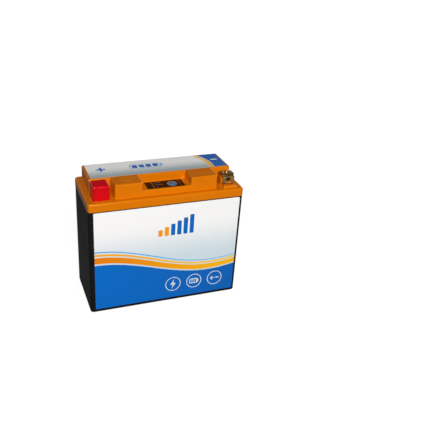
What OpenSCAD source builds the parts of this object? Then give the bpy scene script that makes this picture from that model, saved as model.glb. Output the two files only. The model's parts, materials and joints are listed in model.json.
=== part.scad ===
// Motorcycle battery, 12 V lithium, with its cells, boards, terminals and welded lid.
// Millimetres. The origin is the middle of the base, +X runs along the front towards the
// negative terminal, the labelled front faces -Y, and +Z is up.

/* [Overall] */
// Length of the lid's band, the longest size
battery_length = 150; // [128:1:190]
// Width of the lid's band, front to back
battery_width = 65; // [64:1:80]
// Height from the base to the top of the ridge's label
battery_height = 130; // [112:1:160]

/* [Case] */
// How far each case wall stands inside the lid's band
case_inset = 0.5; // [0.2:0.1:1.5]
// Thickness of the case's walls
case_wall = 2.5; // [2:0.1:3.5]
// Thickness of the case's floor
case_floor = 3; // [2:0.5:5]
// Radius of the case's upright corners
case_corner_r = 3; // [1:0.5:6]

/* [Lid] */
// Height of the lid above the case's rim
lid_height = 22.3; // [20:0.1:28]
// Height of the band round the lid's foot
band_height = 8.3; // [7:0.1:9]
// Thickness of the lid's walls and deck
lid_wall = 2.2; // [1.6:0.1:2.8]
// How deep the lid's lip plugs into the case
lip_depth = 5; // [3:0.5:8]
// Thickness of the lip
lip_wall = 1.8; // [1.2:0.1:2.5]
// Gap between the lip and the case wall
lip_gap = 0.15; // [0.05:0.05:0.4]
// From each end of the band to the ridge
ridge_end_inset = 6; // [4.5:0.5:9]
// From the back of the band to the ridge
ridge_back_inset = 6.5; // [5:0.5:9]
// From the front of the band to the ridge's blocks
ridge_front_inset = 5.5; // [5:0.5:7]
// Radius of the ridge's upright corners
ridge_corner_r = 1.2; // [0.6:0.1:2]
// Depth of the terminal pockets and the middle recess, front to back
pocket_depth = 17.8; // [17:0.1:21]
// Length of each terminal pocket, from the ridge's end to its block
pocket_length = 19.9; // [18.6:0.1:26]
// Length of the middle recess
recess_length = 46.2; // [44:0.2:56]
// From the ridge's top down to the recess floor
recess_drop = 8; // [6:0.1:9]
// Thickness of the recess floor
recess_floor_thick = 3; // [2.6:0.1:3.5]
// Length of a bar of the raised polarity marks
mark_length = 7; // [4:0.5:10]
// Width of a bar of the raised polarity marks
mark_width = 1.6; // [1:0.1:2.5]
// Height of the polarity marks
mark_height = 0.25; // [0.1:0.05:0.25]

/* [Labels] */
// Thickness of the printed films
label_thick = 0.25; // [0.1:0.05:0.4]
// Radius of the films' corners
label_corner_r = 1.2; // [0.5:0.1:3]
// From the front film to the positive end of the case
front_label_left_margin = 4.4; // [2.5:0.1:6]
// From the front film to the negative end of the case
front_label_right_margin = 3; // [2.5:0.1:6]
// From the front film to the case's base
front_label_foot_margin = 3.6; // [1:0.1:8]
// From the front film to the case's rim
front_label_rim_margin = 0.9; // [0.5:0.1:6]
// From the top film to the ridge's ends
top_label_end_margin = 2.1; // [1.5:0.1:6]
// From the top film to the front and back edges of the ridge
top_label_margin = 1.6; // [1:0.1:4]

/* [Test panel] */
// Length of the printed panel
panel_length = 36; // [34:0.5:40]
// Width of the printed panel
panel_width = 13.7; // [12:0.1:14.2]
// Thickness of the printed panel
panel_thick = 0.4; // [0.2:0.1:0.6]
// From the plateau's foot to the panel
panel_back_gap = 2.3; // [1:0.1:3.4]
// Button's place along the panel, from its middle
button_offset = 7; // [6.5:0.1:10]
// From the panel's middle to the button, towards the front
button_shift = 0.6; // [0:0.1:1]
// Radius of the button
button_r = 5; // [4:0.1:5.4]
// Thickness of the button's head
button_thick = 1.6; // [1.4:0.1:2]
// How far the button stands above the panel
button_proud = 0.2; // [0.1:0.1:0.8]
// Radius of the button's stem
stem_r = 2.4; // [2:0.1:3]
// Gap round the button and its stem
button_gap = 0.3; // [0.2:0.05:0.5]
// How far the button goes down
button_travel = 0.6; // [0.3:0.1:0.6]
// Row of lamps, from the panel's middle
lamp_offset = -11.5; // [-12:0.5:-8]
// Distance between lamps
lamp_pitch = 4; // [3:0.1:4]
// Radius of a light pipe
pipe_r = 1; // [0.7:0.1:1.2]

/* [Terminals] */
// Width of a terminal's folded strap
terminal_width = 11.6; // [10:0.1:14]
// Height of a terminal's top above the deck
terminal_height = 12; // [11.6:0.1:12.4]
// Thickness of the folded strap
strap_thick = 1.2; // [1:0.1:1.5]
// Outside radius of the strap's bends
strap_bend_r = 1.7; // [1.6:0.1:2.2]
// From the ridge's end to the terminal's middle
terminal_end_gap = 7.2; // [6.5:0.1:8]
// From the ridge's front to the terminal's front plate
terminal_front_gap = 2.6; // [2:0.1:3]
// Height of the moulded seat under a terminal
pedestal_height = 1.6; // [1.2:0.1:1.8]
// How far the open terminal's seat reaches out in front of it
seat_reach = 4.3; // [2.6:0.1:4.6]
// Height of the lip on that seat, in front of the terminal
lip_height = 0.6; // [0.5:0.1:1.2]
// From the terminal's top down to the end of the front plate
slit_height = 2.2; // [1:0.1:2.4]
// Width of the nut under the top plate, front to back
nut_width = 8; // [7:0.1:8.6]
// Height of the nut
nut_height = 2.2; // [2:0.1:2.3]
// Room in front of the nut and behind it
nut_gap = 0.1; // [0.05:0.05:0.3]
// From each end of the nut to the terminal's open end
nut_end_gap = 0.3; // [0.2:0.1:1.5]
// Thickness and depth of the keeper's toe, behind the terminal's front plate
toe_thick = 0.5; // [0.3:0.1:0.6]
toe_depth = 3.2; // [1.5:0.1:4]
// Thickness of the keeper's head, beside the terminal
keeper_head = 1.4; // [1:0.1:1.4]
// Radius of the nut's tapped hole
thread_r = 2.1; // [1.6:0.05:2.3]
// Radius of the nut's staked collar
collar_r = 3.3; // [2.8:0.1:3.5]
// Radius of the hole in the front plate
front_hole_r = 2.65; // [2.2:0.05:2.7]
// From the terminal's foot to the front hole's middle
front_hole_height = 4.3; // [4:0.1:4.3]

/* [Terminal cap] */
// Thickness of the soft cap's walls
cap_wall = 1.1; // [0.8:0.1:1.5]
// Thickness of the cap's roof
cap_roof = 1.3; // [1:0.1:1.6]
// Gap over the terminal
cap_top_gap = 0.7; // [0.4:0.1:1]
// Gap to the terminal on its outer side
cap_end_gap = 0.35; // [0.3:0.05:1]
// Gap to the terminal on its inner side, for a cable eye
cap_inner_gap = 1.6; // [1.6:0.05:2.5]
// Gap in front of the terminal
cap_front_gap = 1.5; // [0.4:0.1:1.6]
// Gap behind the terminal
cap_back_gap = 1.8; // [1:0.1:2.2]
// Radius of the cap's upright corners
cap_corner_r = 1.8; // [1.2:0.1:2.4]

/* [Posts and leads] */
// Radius of a terminal's post
post_r = 3; // [2.6:0.1:3.2]
// Radius of the post's threaded foot
post_foot_r = 2.4; // [2:0.1:2.5]
// From the deck down to the post's shoulder
post_shoulder_drop = 8.8; // [8:0.1:10]
// Length of the post's threaded foot
post_foot_length = 5; // [4.5:0.5:6]
// Wall of the rubber bush round the post
bush_wall = 0.9; // [0.7:0.1:1.2]
// Thickness and overhang of the bush's flange
bush_flange = 1.5; // [1:0.1:2]
// Height of the nut on the post
post_nut_height = 3; // [2.5:0.1:3.5]
// Width of the nut on the post across its flats
post_nut_width = 8; // [7:0.1:9]
// Width of the copper leads
lead_width = 10; // [8:0.5:11]
// Thickness of the copper leads
lead_thick = 1.2; // [0.8:0.1:1.6]
// Gap round a fixed pin in its hole
fixed_gap = 0.05; // [0.02:0.01:0.08]

/* [Cells] */
// Diameter of a cell with its sleeve
cell_d = 26; // [25:0.1:26.2]
// Length of a cell
cell_length = 65; // [60:0.5:66]
// Thickness of a cell's sleeve
sleeve_thick = 0.2; // [0.1:0.05:0.3]
// Height of a cell's positive button
cell_button_height = 1.2; // [0.8:0.1:1.6]
// Radius of a cell's positive button
cell_button_r = 5; // [3:0.5:6]
// From the case's rim down to the tops of the cells
cell_headroom = 16; // [15.5:0.5:18]

/* [Pack] */
// Gap between the cell holders and the case walls
holder_gap = 0.5; // [0.3:0.1:1]
// Plastic round the outer cells in a holder
holder_edge = 1.2; // [0.8:0.1:1.6]
// How much of each cell a holder grips
holder_grip = 6; // [4:0.5:10]
// Thickness of a holder's floor
holder_floor = 1.5; // [1.2:0.1:2.5]
// Gap round a cell in its socket
socket_gap = 0.1; // [0.05:0.05:0.3]
// Width of a busbar over one row of cells
busbar_width = 22; // [18:0.5:23]
// Thickness of the busbars
busbar_thick = 0.5; // [0.3:0.1:1]
// Gap round a busbar in its channel
busbar_gap = 0.3; // [0.2:0.1:0.6]
// Width of a sense strip
sense_width = 4; // [3:0.5:5]
// Thickness of a sense strip
sense_thick = 0.5; // [0.3:0.1:0.8]
// Thickness of the insulator sheet
sheet_thick = 0.5; // [0.3:0.1:0.8]

/* [Boards] */
// Thickness of the circuit boards
board_thick = 1.6; // [1:0.2:2]
// Height of the spacers under the balance board
spacer_height = 4; // [3:0.5:5]
// Radius of the balance board's screws
board_screw_r = 1.4; // [1:0.1:1.5]
// Length of the indicator board
indicator_length = 40; // [38:0.5:42]
// Width of the indicator board
indicator_width = 12.6; // [12:0.1:13]
// From the recess floor's underside to the indicator board
indicator_drop = 5.5; // [5:0.1:6]
// Height of the push switch's body
switch_height = 3.5; // [3:0.1:4]
// Width of the push switch's body
switch_width = 6; // [5:0.5:7]
// Radius of the push switch's plunger
plunger_r = 1.75; // [1.2:0.05:2]
// Height of the cable sockets
socket_height = 4; // [3:0.5:4]
// Thickness of the flat cable
ribbon_thick = 0.8; // [0.5:0.1:1.2]
// Width of the flat cable
ribbon_width = 8; // [6:0.5:9]

/* [Hidden] */
$fn = 48;

// Overlap between shapes that are joined or cut
eps = 0.5;
// The ends of the battery along X
POSITIVE = -1;
NEGATIVE = 1;
SIDES = [POSITIVE, NEGATIVE];
// Gap left under a moving piece at the end of its travel
stop_gap = 0.2;
// Gap round a screw in its clearance hole
screw_gap = 0.2;

// Heights of the shells
joint_z = battery_height - lid_height;
deck_z = joint_z + band_height;
ridge_top = battery_height - label_thick;
recess_z = ridge_top - recess_drop;
recess_under = recess_z - recess_floor_thick;

// Plan of the case and the lid's lip
case_l = battery_length - 2 * case_inset;
case_w = battery_width - 2 * case_inset;
case_in_l = case_l - 2 * case_wall;
case_in_w = case_w - 2 * case_wall;
inner_corner_r = 1;
lip_l = case_in_l - 2 * lip_gap;
lip_w = case_in_w - 2 * lip_gap;
lid_in_l = lip_l - 2 * lip_wall;
lid_in_w = lip_w - 2 * lip_wall;

// Plan of the ridge
ridge_end = battery_length / 2 - ridge_end_inset;
ridge_back = battery_width / 2 - ridge_back_inset;
ridge_front = ridge_front_inset - battery_width / 2;
plateau_front = ridge_front + pocket_depth;
block_end = ridge_end - pocket_length;
recess_half = recess_length / 2;
block_middle = [(recess_half + block_end) / 2, (ridge_front + plateau_front) / 2];

// Test panel, button and lamps
panel_back = plateau_front - panel_back_gap;
panel_middle_y = panel_back - panel_width / 2;
panel_top = recess_z + panel_thick;
panel_corner_r = 0.6;
button_place = [button_offset, panel_middle_y - button_shift];
button_top = panel_top + button_proud;
button_under = button_top - button_thick;
lamp_places = [for (i = [-1, 0, 1]) [lamp_offset, panel_middle_y + i * lamp_pitch]];
indicator_top = recess_under - indicator_drop;
indicator_under = indicator_top - board_thick;
lamp_size = [2, 1.6];
lamp_height = 1;
lamp_top = indicator_top + lamp_height;
indicator_front_gap = 0.9;
indicator_middle_y = ridge_front + lid_wall + indicator_front_gap + indicator_width / 2;
indicator_boss_inset = 2.5;
indicator_boss_x = indicator_length / 2 - indicator_boss_inset;
indicator_boss_r = 2.2;
indicator_screw_r = 0.9;
switch_top = indicator_top + switch_height;
plunger_seat = 1;
plunger_top = switch_top + button_travel + stop_gap;
plunger_foot = switch_top - plunger_seat;

// Terminals and their posts
inner_bend_r = strap_bend_r - strap_thick;
terminal_depth = nut_width + 2 * nut_gap + 2 * strap_thick;
terminal_x = ridge_end - terminal_end_gap;
terminal_front = ridge_front + terminal_front_gap;
terminal_back = terminal_front + terminal_depth;
terminal_y = (terminal_front + terminal_back) / 2;
terminal_foot = deck_z + pedestal_height;
terminal_top = deck_z + terminal_height;
front_hole_z = terminal_foot + front_hole_height;
lip_back_gap = 0.1;
nut_under = terminal_top - strap_thick - nut_height;
keeper_gap = 0.1;
keeper_reach = 1.6;
keeper_top = nut_under - 0.2;
toe_end_gap = 0.3;
lip_overhang = 0.4;
bush_r = post_r + fixed_gap + bush_wall;
bush_hole_r = bush_r + fixed_gap;
deck_under = deck_z - lid_wall;
shoulder_z = deck_z - post_shoulder_drop;

// Pack: four rows of two cells, with the terminals' rows at the ends
rows = 4;
CELLS = [1:2 * rows];
TOP_BARS = [[0, 0], [1, 2], [3, 3]];
BOTTOM_BARS = [[0, 1], [2, 3]];
cell_shoulder = cell_length - cell_button_height;
socket_r = cell_d / 2 + socket_gap;
holder_l = case_in_l - 2 * holder_gap;
holder_w = case_in_w - 2 * holder_gap;
row_pitch = (holder_l - 2 * holder_edge - 2 * socket_r) / (rows - 1);
pair_pitch = holder_w - 2 * holder_edge - 2 * socket_r;
cell_top = joint_z - cell_headroom;
cell_bottom = cell_top - cell_length;
can_r = cell_d / 2 - sleeve_thick - fixed_gap;
holder_top = cell_top + holder_floor;
holder_bottom = cell_bottom - holder_floor;
sheet_top = holder_top + sheet_thick;
sense_end_inset = 2;
sense_end_x = row_x(rows - 1) - busbar_width / 2 + sense_end_inset;
sense_gap = 0.5;
sense_hole_r = 4;

// Balance board
board_under = sheet_top + spacer_height;
board_top = board_under + board_thick;
board_edge = 2;
board_l = 2 * (sense_end_x + board_edge);
board_w = 50;
board_screw_inset = 4;
board_screw_y = board_w / 2 - board_screw_inset;
board_screw_places = [for (i = [-1, 1], j = [-1, 1]) [i * row_pitch, j * board_screw_y]];
board_socket_y = 2;
socket_size = [11, 5.5];
resistor_size = [6.4, 3.2, 0.6];
resistor_pitch = 9;
resistor_row_y = 20;
transistor_size = [10, 9, 4.4];
transistor_place = [26, 11];
chip_size = [10, 10, 1.2];
chip_place = [-12, 9];
capacitor_r = 3;
capacitor_height = 5;
capacitor_place = [44, 14];

// Copper leads and the foams beside them
lead_run = 10;
lead_foot_length = 13;
lead_bend_y = terminal_y + lead_run;
lead_foot_end_y = lead_bend_y + lead_foot_length;
foam_board_gap = 2;
foam_lead_gap = 3;

// Middle of a row of cells along X, counted from the positive end
function row_x(row) = (row - (rows - 1) / 2) * row_pitch;

// Plan places of a cell, a terminal and a boss of the indicator board
function cell_place(number) = [row_x(floor((number - 1) / 2)), ((number - 1) % 2 - 0.5) * pair_pitch];
function terminal_place(side) = [side * terminal_x, terminal_y];
function indicator_boss_place(side) = [side * indicator_boss_x, indicator_middle_y];

// Plan shapes
module rounded(low, high, r) {
    translate([low.x + r, low.y]) square([high.x - low.x - 2 * r, high.y - low.y]);
    translate([low.x, low.y + r]) square([high.x - low.x, high.y - low.y - 2 * r]);
    for (x = [low.x + r, high.x - r], y = [low.y + r, high.y - r]) translate([x, y]) circle(r);
}

module plate(length, width, low, high, r) {
    translate([0, 0, low]) linear_extrude(high - low)
        rounded([-length / 2, -width / 2], [length / 2, width / 2], r);
}

module block(low, high) {
    translate(low) cube(high - low);
}

// An upright box about a plan place
module column(place, size, low, high) {
    translate([place.x - size.x / 2, place.y - size.y / 2, low]) cube([size.x, size.y, high - low]);
}

module rod(place, low, high, r) {
    translate([place.x, place.y, low]) cylinder(h = high - low, r = r);
}

// A shape drawn in the Y and Z plane, made width wide along X about the middle x
module along_x(x, width) {
    translate([x - width / 2, 0, 0]) rotate([90, 0, 90]) linear_extrude(width) children();
}

// Plan of the ridge, drawn in by inset
module ridge_plan(inset) {
    r = max(ridge_corner_r - inset, 0.5);
    rounded([-ridge_end + inset, plateau_front + inset], [ridge_end - inset, ridge_back - inset], r);
    for (side = [0, 1]) mirror([side, 0]) rounded(
        [recess_half + inset, ridge_front + inset],
        [block_end - inset, plateau_front + inset + 2 * ridge_corner_r], r);
}

// Shells
module case() {
    color("#1c1c1e") difference() {
        plate(case_l, case_w, 0, joint_z, case_corner_r);
        plate(case_in_l, case_in_w, case_floor, joint_z + eps, inner_corner_r);
    }
}

module lid_outside() {
    plate(battery_length, battery_width, joint_z, deck_z, case_corner_r + case_inset);
    plate(lip_l, lip_w, joint_z - lip_depth, joint_z + eps, inner_corner_r);
    translate([0, 0, deck_z - eps]) linear_extrude(ridge_top - deck_z + eps) ridge_plan(0);
    block([-recess_half - eps, ridge_front, deck_z - eps],
          [recess_half + eps, plateau_front + eps, recess_z]);
    for (side = SIDES) pedestal(side);
    polarity_marks();
}

// Seat of a terminal. The open one has a lip in front, which the other's cap leaves no room for.
module pedestal(side) {
    half = terminal_width / 2;
    middle = side * terminal_x;
    front = side == NEGATIVE ? terminal_front - seat_reach : terminal_front;
    block([middle - half, front, deck_z - eps], [middle + half, terminal_back, terminal_foot]);
    lip_half = half + lip_overhang;
    lip_back = terminal_front - lip_back_gap;
    if (side == NEGATIVE) block([middle - lip_half, front, deck_z - eps],
                                [middle + lip_half, lip_back, terminal_foot + lip_height]);
}

module polarity_marks() {
    for (side = SIDES) mark_bar(side * block_middle.x, [mark_length, mark_width]);
    mark_bar(POSITIVE * block_middle.x, [mark_width, mark_length]);
}

module mark_bar(x, size) {
    translate([x - size.x / 2, block_middle.y - size.y / 2, ridge_top - eps])
        cube([size.x, size.y, eps + mark_height]);
}

module lid_inside() {
    under = deck_under - eps;
    plate(lid_in_l, lid_in_w, joint_z - lip_depth - eps, deck_under, inner_corner_r);
    translate([0, 0, under]) linear_extrude(ridge_top - lid_wall - under) ridge_plan(lid_wall);
    block([-recess_half - lid_wall - eps, ridge_front + lid_wall, under],
          [recess_half + lid_wall + eps, plateau_front + lid_wall + eps, recess_under]);
}

module lid_holes() {
    for (side = SIDES) rod(terminal_place(side), deck_under - eps, terminal_foot + eps, bush_hole_r);
    for (place = lamp_places) rod(place, recess_under - eps, recess_z + eps, pipe_r + fixed_gap);
    rod(button_place, recess_under - eps, recess_z, stem_r + button_gap);
    rod(button_place, button_under - button_travel - stop_gap, recess_z + eps, button_r + button_gap);
}

module indicator_boss(side) {
    place = indicator_boss_place(side);
    difference() {
        rod(place, indicator_top, recess_under + eps, indicator_boss_r);
        rod(place, indicator_top - eps, recess_under, indicator_screw_r);
    }
}

module lid() {
    color("#e07a0c") {
        difference() {
            lid_outside();
            lid_inside();
            lid_holes();
        }
        for (side = SIDES) indicator_boss(side);
    }
}

// Printed films
module front_label() {
    low = [front_label_left_margin - case_l / 2, front_label_foot_margin];
    high = [case_l / 2 - front_label_right_margin, joint_z - front_label_rim_margin];
    color("#f2f2f0") translate([0, -case_w / 2, 0]) rotate([90, 0, 0]) linear_extrude(label_thick)
        rounded(low, high, label_corner_r);
}

module top_label() {
    half = ridge_end - top_label_end_margin;
    color("#f2f2f0") translate([0, 0, ridge_top]) linear_extrude(label_thick)
        rounded([-half, plateau_front + top_label_margin], [half, ridge_back - top_label_margin],
                label_corner_r);
}

// Test panel and what the button works
module test_panel() {
    color("#101014") difference() {
        translate([0, 0, recess_z]) linear_extrude(panel_thick)
            rounded([-panel_length / 2, panel_back - panel_width], [panel_length / 2, panel_back],
                    panel_corner_r);
        rod(button_place, recess_z - eps, panel_top + eps, button_r + button_gap);
        for (place = lamp_places) rod(place, recess_z - eps, panel_top + eps, pipe_r + fixed_gap);
    }
}

module test_button() {
    crown = 0.4;
    color("#1272c4") {
        rod(button_place, button_under, button_top - crown, button_r);
        translate([button_place.x, button_place.y, button_top - crown])
            cylinder(h = crown, r1 = button_r, r2 = button_r - crown);
        rod(button_place, plunger_top, button_under + eps, stem_r);
    }
}

module switch_plunger() {
    color("#202020") rod(button_place, plunger_foot, plunger_top, plunger_r);
}

module switch_body() {
    color("#3a3a3c") difference() {
        column(button_place, [switch_width, switch_width], indicator_top, switch_top);
        rod(button_place, plunger_foot - button_travel - stop_gap, switch_top + eps, plunger_r + button_gap);
    }
}

module light_pipes() {
    color("#e8a030") for (place = lamp_places) rod(place, lamp_top + stop_gap, panel_top, pipe_r);
}

module indicator_lamps() {
    color("#f0c060") for (place = lamp_places) column(place, lamp_size, indicator_top, lamp_top);
}

module indicator_board() {
    color("#1d6b3a") difference() {
        column([0, indicator_middle_y], [indicator_length, indicator_width], indicator_under, indicator_top);
        for (side = SIDES)
            rod(indicator_boss_place(side), indicator_under - eps, indicator_top + eps,
                indicator_screw_r + screw_gap);
    }
}

module indicator_screws() {
    head = 1.5;
    tip_gap = 1;
    color("#b8b8b8") for (side = SIDES) {
        place = indicator_boss_place(side);
        rod(place, indicator_under - head, indicator_under, 2 * indicator_screw_r);
        rod(place, indicator_under - head / 2, recess_under - tip_gap, indicator_screw_r - fixed_gap);
    }
}

module indicator_socket() {
    color("#efe8d8") cable_socket(indicator_middle_y, indicator_under - socket_height);
}

module cable_socket(y, low) {
    column([0, y], socket_size, low, low + socket_height);
}

// Flat cable: up from the lower socket, along to the front, and up into the upper one
module indicator_ribbon() {
    low = board_top + socket_height;
    high = indicator_under - socket_height;
    bend_r = (high - low) / 2;
    front = indicator_middle_y + bend_r;
    back = board_socket_y - bend_r;
    color("#9aa0a6") along_x(0, ribbon_width) {
        translate([front, low + bend_r - ribbon_thick / 2]) square([back - front, ribbon_thick]);
        translate([back, low]) quarter_bend(bend_r);
        translate([front, high]) rotate(180) quarter_bend(bend_r);
    }
}

module quarter_bend(bend_r) {
    intersection() {
        difference() {
            circle(bend_r + ribbon_thick / 2);
            circle(bend_r - ribbon_thick / 2);
        }
        square(2 * bend_r);
    }
}

// Terminals: a folded strap box, open at its sides and slit at the top front, on a post
module terminal_profile() {
    difference() {
        rounded([terminal_front, terminal_foot], [terminal_back, terminal_top], strap_bend_r);
        rounded([terminal_front + strap_thick, terminal_foot + strap_thick],
                [terminal_back - strap_thick, terminal_top - strap_thick], inner_bend_r);
        translate([terminal_front - eps, terminal_top - slit_height])
            square([strap_bend_r + eps, slit_height + eps]);
        translate([terminal_front + strap_thick, terminal_top - strap_thick - inner_bend_r])
            square([inner_bend_r, strap_bend_r + eps]);
    }
}

module terminal(side) {
    place = terminal_place(side);
    color("#c2b48f") difference() {
        union() {
            along_x(place.x, terminal_width) terminal_profile();
            rod(place, shoulder_z, terminal_foot + strap_thick / 2, post_r);
            rod(place, shoulder_z - post_foot_length, shoulder_z + eps, post_foot_r);
        }
        rod(place, terminal_top - strap_thick - eps, terminal_top + eps, collar_r + fixed_gap);
        translate([place.x, terminal_front - eps, front_hole_z]) rotate([-90, 0, 0])
            cylinder(h = strap_thick + 2 * eps, r = front_hole_r);
    }
}

module positive_terminal() {
    terminal(POSITIVE);
}

module negative_terminal() {
    terminal(NEGATIVE);
}

module staked_nut(side) {
    half = [terminal_width / 2 - nut_end_gap, nut_width / 2];
    place = terminal_place(side);
    face_z = terminal_top - strap_thick;
    color("#c2b48f") difference() {
        union() {
            column(place, 2 * half, nut_under, face_z - inner_bend_r);
            rod(place, nut_under + eps, face_z, half.y + nut_gap - inner_bend_r);
            rod(place, nut_under + eps, terminal_top, collar_r);
        }
        rod(place, nut_under - eps, terminal_top + eps, thread_r);
    }
}

module positive_nut() {
    staked_nut(POSITIVE);
}

module negative_nut() {
    staked_nut(NEGATIVE);
}

module terminal_cap() {
    left = -terminal_x - terminal_width / 2 - cap_end_gap;
    right = -terminal_x + terminal_width / 2 + cap_inner_gap;
    front = terminal_front - cap_front_gap;
    back = terminal_back + cap_back_gap;
    cavity_top = terminal_top + cap_top_gap;
    color("#c8101c") difference() {
        translate([0, 0, deck_z]) linear_extrude(cavity_top + cap_roof - deck_z)
            rounded([left - cap_wall, front - cap_wall], [right + cap_wall, back + cap_wall], cap_corner_r);
        translate([0, 0, deck_z - eps]) linear_extrude(cavity_top - deck_z + eps)
            rounded([left, front], [right, back], cap_corner_r - cap_wall);
    }
}

// Plastic keepers in the terminals' boxes: a toe behind the front plate, and a cheek with a head at the
// inner end
module terminal_keepers() {
    deep = nut_width - 2 * inner_bend_r;
    toe_y = terminal_y - deep / 2 + toe_depth / 2;
    toe_size = [terminal_width - 2 * toe_end_gap, toe_depth];
    floor_z = terminal_foot + strap_thick;
    end_x = terminal_x - terminal_width / 2;
    head_x = end_x - keeper_gap - keeper_head / 2;
    cheek_x = end_x + keeper_reach;
    color("#e07a0c") for (side = SIDES) {
        column([side * terminal_x, toe_y], toe_size, floor_z, floor_z + toe_thick);
        column([side * head_x, terminal_y], [keeper_head, deep], deck_z, keeper_top);
        column([side * (head_x + cheek_x) / 2, terminal_y], [cheek_x - head_x, deep], floor_z, keeper_top);
    }
}

module terminal_bushes() {
    color("#2a2a2a") for (side = SIDES) {
        place = terminal_place(side);
        difference() {
            union() {
                rod(place, deck_under - eps, terminal_foot, bush_r);
                rod(place, deck_under - bush_flange, deck_under, bush_r + bush_flange);
            }
            rod(place, deck_under - bush_flange - eps, terminal_foot + eps, post_r + fixed_gap);
        }
    }
}

module post_nuts() {
    across_corners = post_nut_width / cos(30);
    high = shoulder_z - lead_thick;
    low = high - post_nut_height;
    color("#b9bcc0") for (side = SIDES) difference() {
        translate([side * terminal_x, terminal_y, low])
            cylinder(h = post_nut_height, d = across_corners, $fn = 6);
        rod(terminal_place(side), low - eps, high + eps, post_foot_r + fixed_gap);
    }
}

// A copper lead: an eye on the post, a run to the back, a drop and a foot on the busbar
module lead(side) {
    foot_z = cell_top + busbar_thick;
    eye_front = terminal_y - lead_width / 2;
    color("#c77b4a") difference() {
        along_x(side * terminal_x, lead_width) {
            translate([eye_front, shoulder_z - lead_thick]) square([lead_bend_y - eye_front, lead_thick]);
            translate([lead_bend_y - lead_thick, foot_z]) square([lead_thick, shoulder_z - foot_z]);
            translate([lead_bend_y - lead_thick, foot_z])
                square([lead_foot_end_y - lead_bend_y + lead_thick, lead_thick]);
        }
        rod(terminal_place(side), shoulder_z - lead_thick - eps, shoulder_z + eps, post_foot_r + fixed_gap);
    }
}

module positive_lead() {
    lead(POSITIVE);
}

module negative_lead() {
    lead(NEGATIVE);
}

// Cells
// Stands what is drawn with its button up at a numbered cell's place. Cells are counted along X,
// the front one of each row first, and rows take turns to stand on their heads.
module at_cell(number) {
    row = floor((number - 1) / 2);
    up = row % 2 == 0;
    place = cell_place(number);
    translate([place.x, place.y, up ? cell_bottom : cell_top]) mirror([0, 0, up ? 0 : 1]) children();
}

module cell(number) {
    color("#c9ccd0") at_cell(number) {
        cylinder(h = cell_shoulder, r = can_r);
        rod([0, 0], cell_shoulder - eps, cell_length, cell_button_r);
    }
}

module cell_sleeves() {
    bare_foot = 0.4;
    color("#2f6fb5") for (number = CELLS) at_cell(number) difference() {
        rod([0, 0], bare_foot, cell_shoulder, cell_d / 2);
        rod([0, 0], bare_foot - eps, cell_shoulder + eps, can_r + fixed_gap);
    }
}

module cell_rings() {
    thick = 0.4;
    inset = 0.4;
    color("#efefe8") for (number = CELLS) at_cell(number) difference() {
        rod([0, 0], cell_shoulder, cell_shoulder + thick, can_r - inset);
        rod([0, 0], cell_shoulder - eps, cell_shoulder + thick + eps, cell_button_r + screw_gap);
    }
}

// A holder between two heights, with its sockets and the channels of the busbars cut through its floor
module holder(low, high, grip_low, grip_high, bars) {
    difference() {
        plate(holder_l, holder_w, low, high, inner_corner_r);
        for (number = CELLS) rod(cell_place(number), grip_low, grip_high, socket_r);
        for (bar = bars) busbar_block(bar[0], bar[1], low - eps, high + eps, busbar_gap);
        for (side = SIDES) rod([side * row_pitch, 0], low - eps, high + eps, sense_hole_r);
    }
}

module busbar_block(first, last, low, high, gap) {
    half = busbar_width / 2 + gap;
    block([row_x(first) - half, -pair_pitch / 2 - half, low],
          [row_x(last) + half, pair_pitch / 2 + half, high]);
}

module upper_holder() {
    low = cell_top - holder_grip;
    color("#303236") difference() {
        holder(low, holder_top, low - eps, cell_top, TOP_BARS);
        for (place = board_screw_places) rod(place, low - eps, holder_top + eps, board_screw_r);
    }
}

module lower_holder() {
    high = cell_bottom + holder_grip;
    color("#303236") holder(holder_bottom, high, cell_bottom, high + eps, BOTTOM_BARS);
}

module top_busbar(bar) {
    color("#c8c4b8") busbar_block(bar[0], bar[1], cell_top, cell_top + busbar_thick, 0);
}

module bottom_busbar(bar) {
    color("#c8c4b8") busbar_block(bar[0], bar[1], cell_bottom - busbar_thick, cell_bottom, 0);
}

module busbar_positive() {
    top_busbar(TOP_BARS[0]);
}

module busbar_middle() {
    top_busbar(TOP_BARS[1]);
}

module busbar_negative() {
    top_busbar(TOP_BARS[2]);
}

module busbar_left() {
    bottom_busbar(BOTTOM_BARS[0]);
}

module busbar_right() {
    bottom_busbar(BOTTOM_BARS[1]);
}

// Upright strips that bring each row's voltage to the balance board
module sense_strip(x, low) {
    block([x - sense_thick / 2, -sense_width / 2, low], [x + sense_thick / 2, sense_width / 2, board_under]);
}

module sense_strips_long() {
    color("#c8c4b8") for (side = SIDES) sense_strip(side * row_pitch, cell_bottom);
}

module sense_strips_short() {
    color("#c8c4b8") for (side = [-1, 0, 1]) sense_strip(side * sense_end_x, cell_top + busbar_thick);
}

module insulator_sheet() {
    slot = [sense_thick / 2 + sense_gap, sense_width / 2 + sense_gap];
    low = holder_top - eps;
    high = sheet_top + eps;
    color("#e8e0c8") difference() {
        plate(holder_l, holder_w, holder_top, sheet_top, inner_corner_r);
        for (x = [-sense_end_x, -row_pitch, 0, row_pitch, sense_end_x])
            block([x - slot.x, -slot.y, low], [x + slot.x, slot.y, high]);
        for (place = board_screw_places) rod(place, low, high, board_screw_r + screw_gap);
        for (side = SIDES) {
            half = lead_width / 2 + sense_gap;
            block([side * terminal_x - half, lead_bend_y - lead_thick - sense_gap, low],
                  [side * terminal_x + half, lead_foot_end_y + sense_gap, high]);
        }
    }
}

// Balance board and its parts
module balance_board() {
    color("#1d6b3a") difference() {
        plate(board_l, board_w, board_under, board_top, inner_corner_r);
        for (place = board_screw_places)
            rod(place, board_under - eps, board_top + eps, board_screw_r + screw_gap);
    }
}

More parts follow.
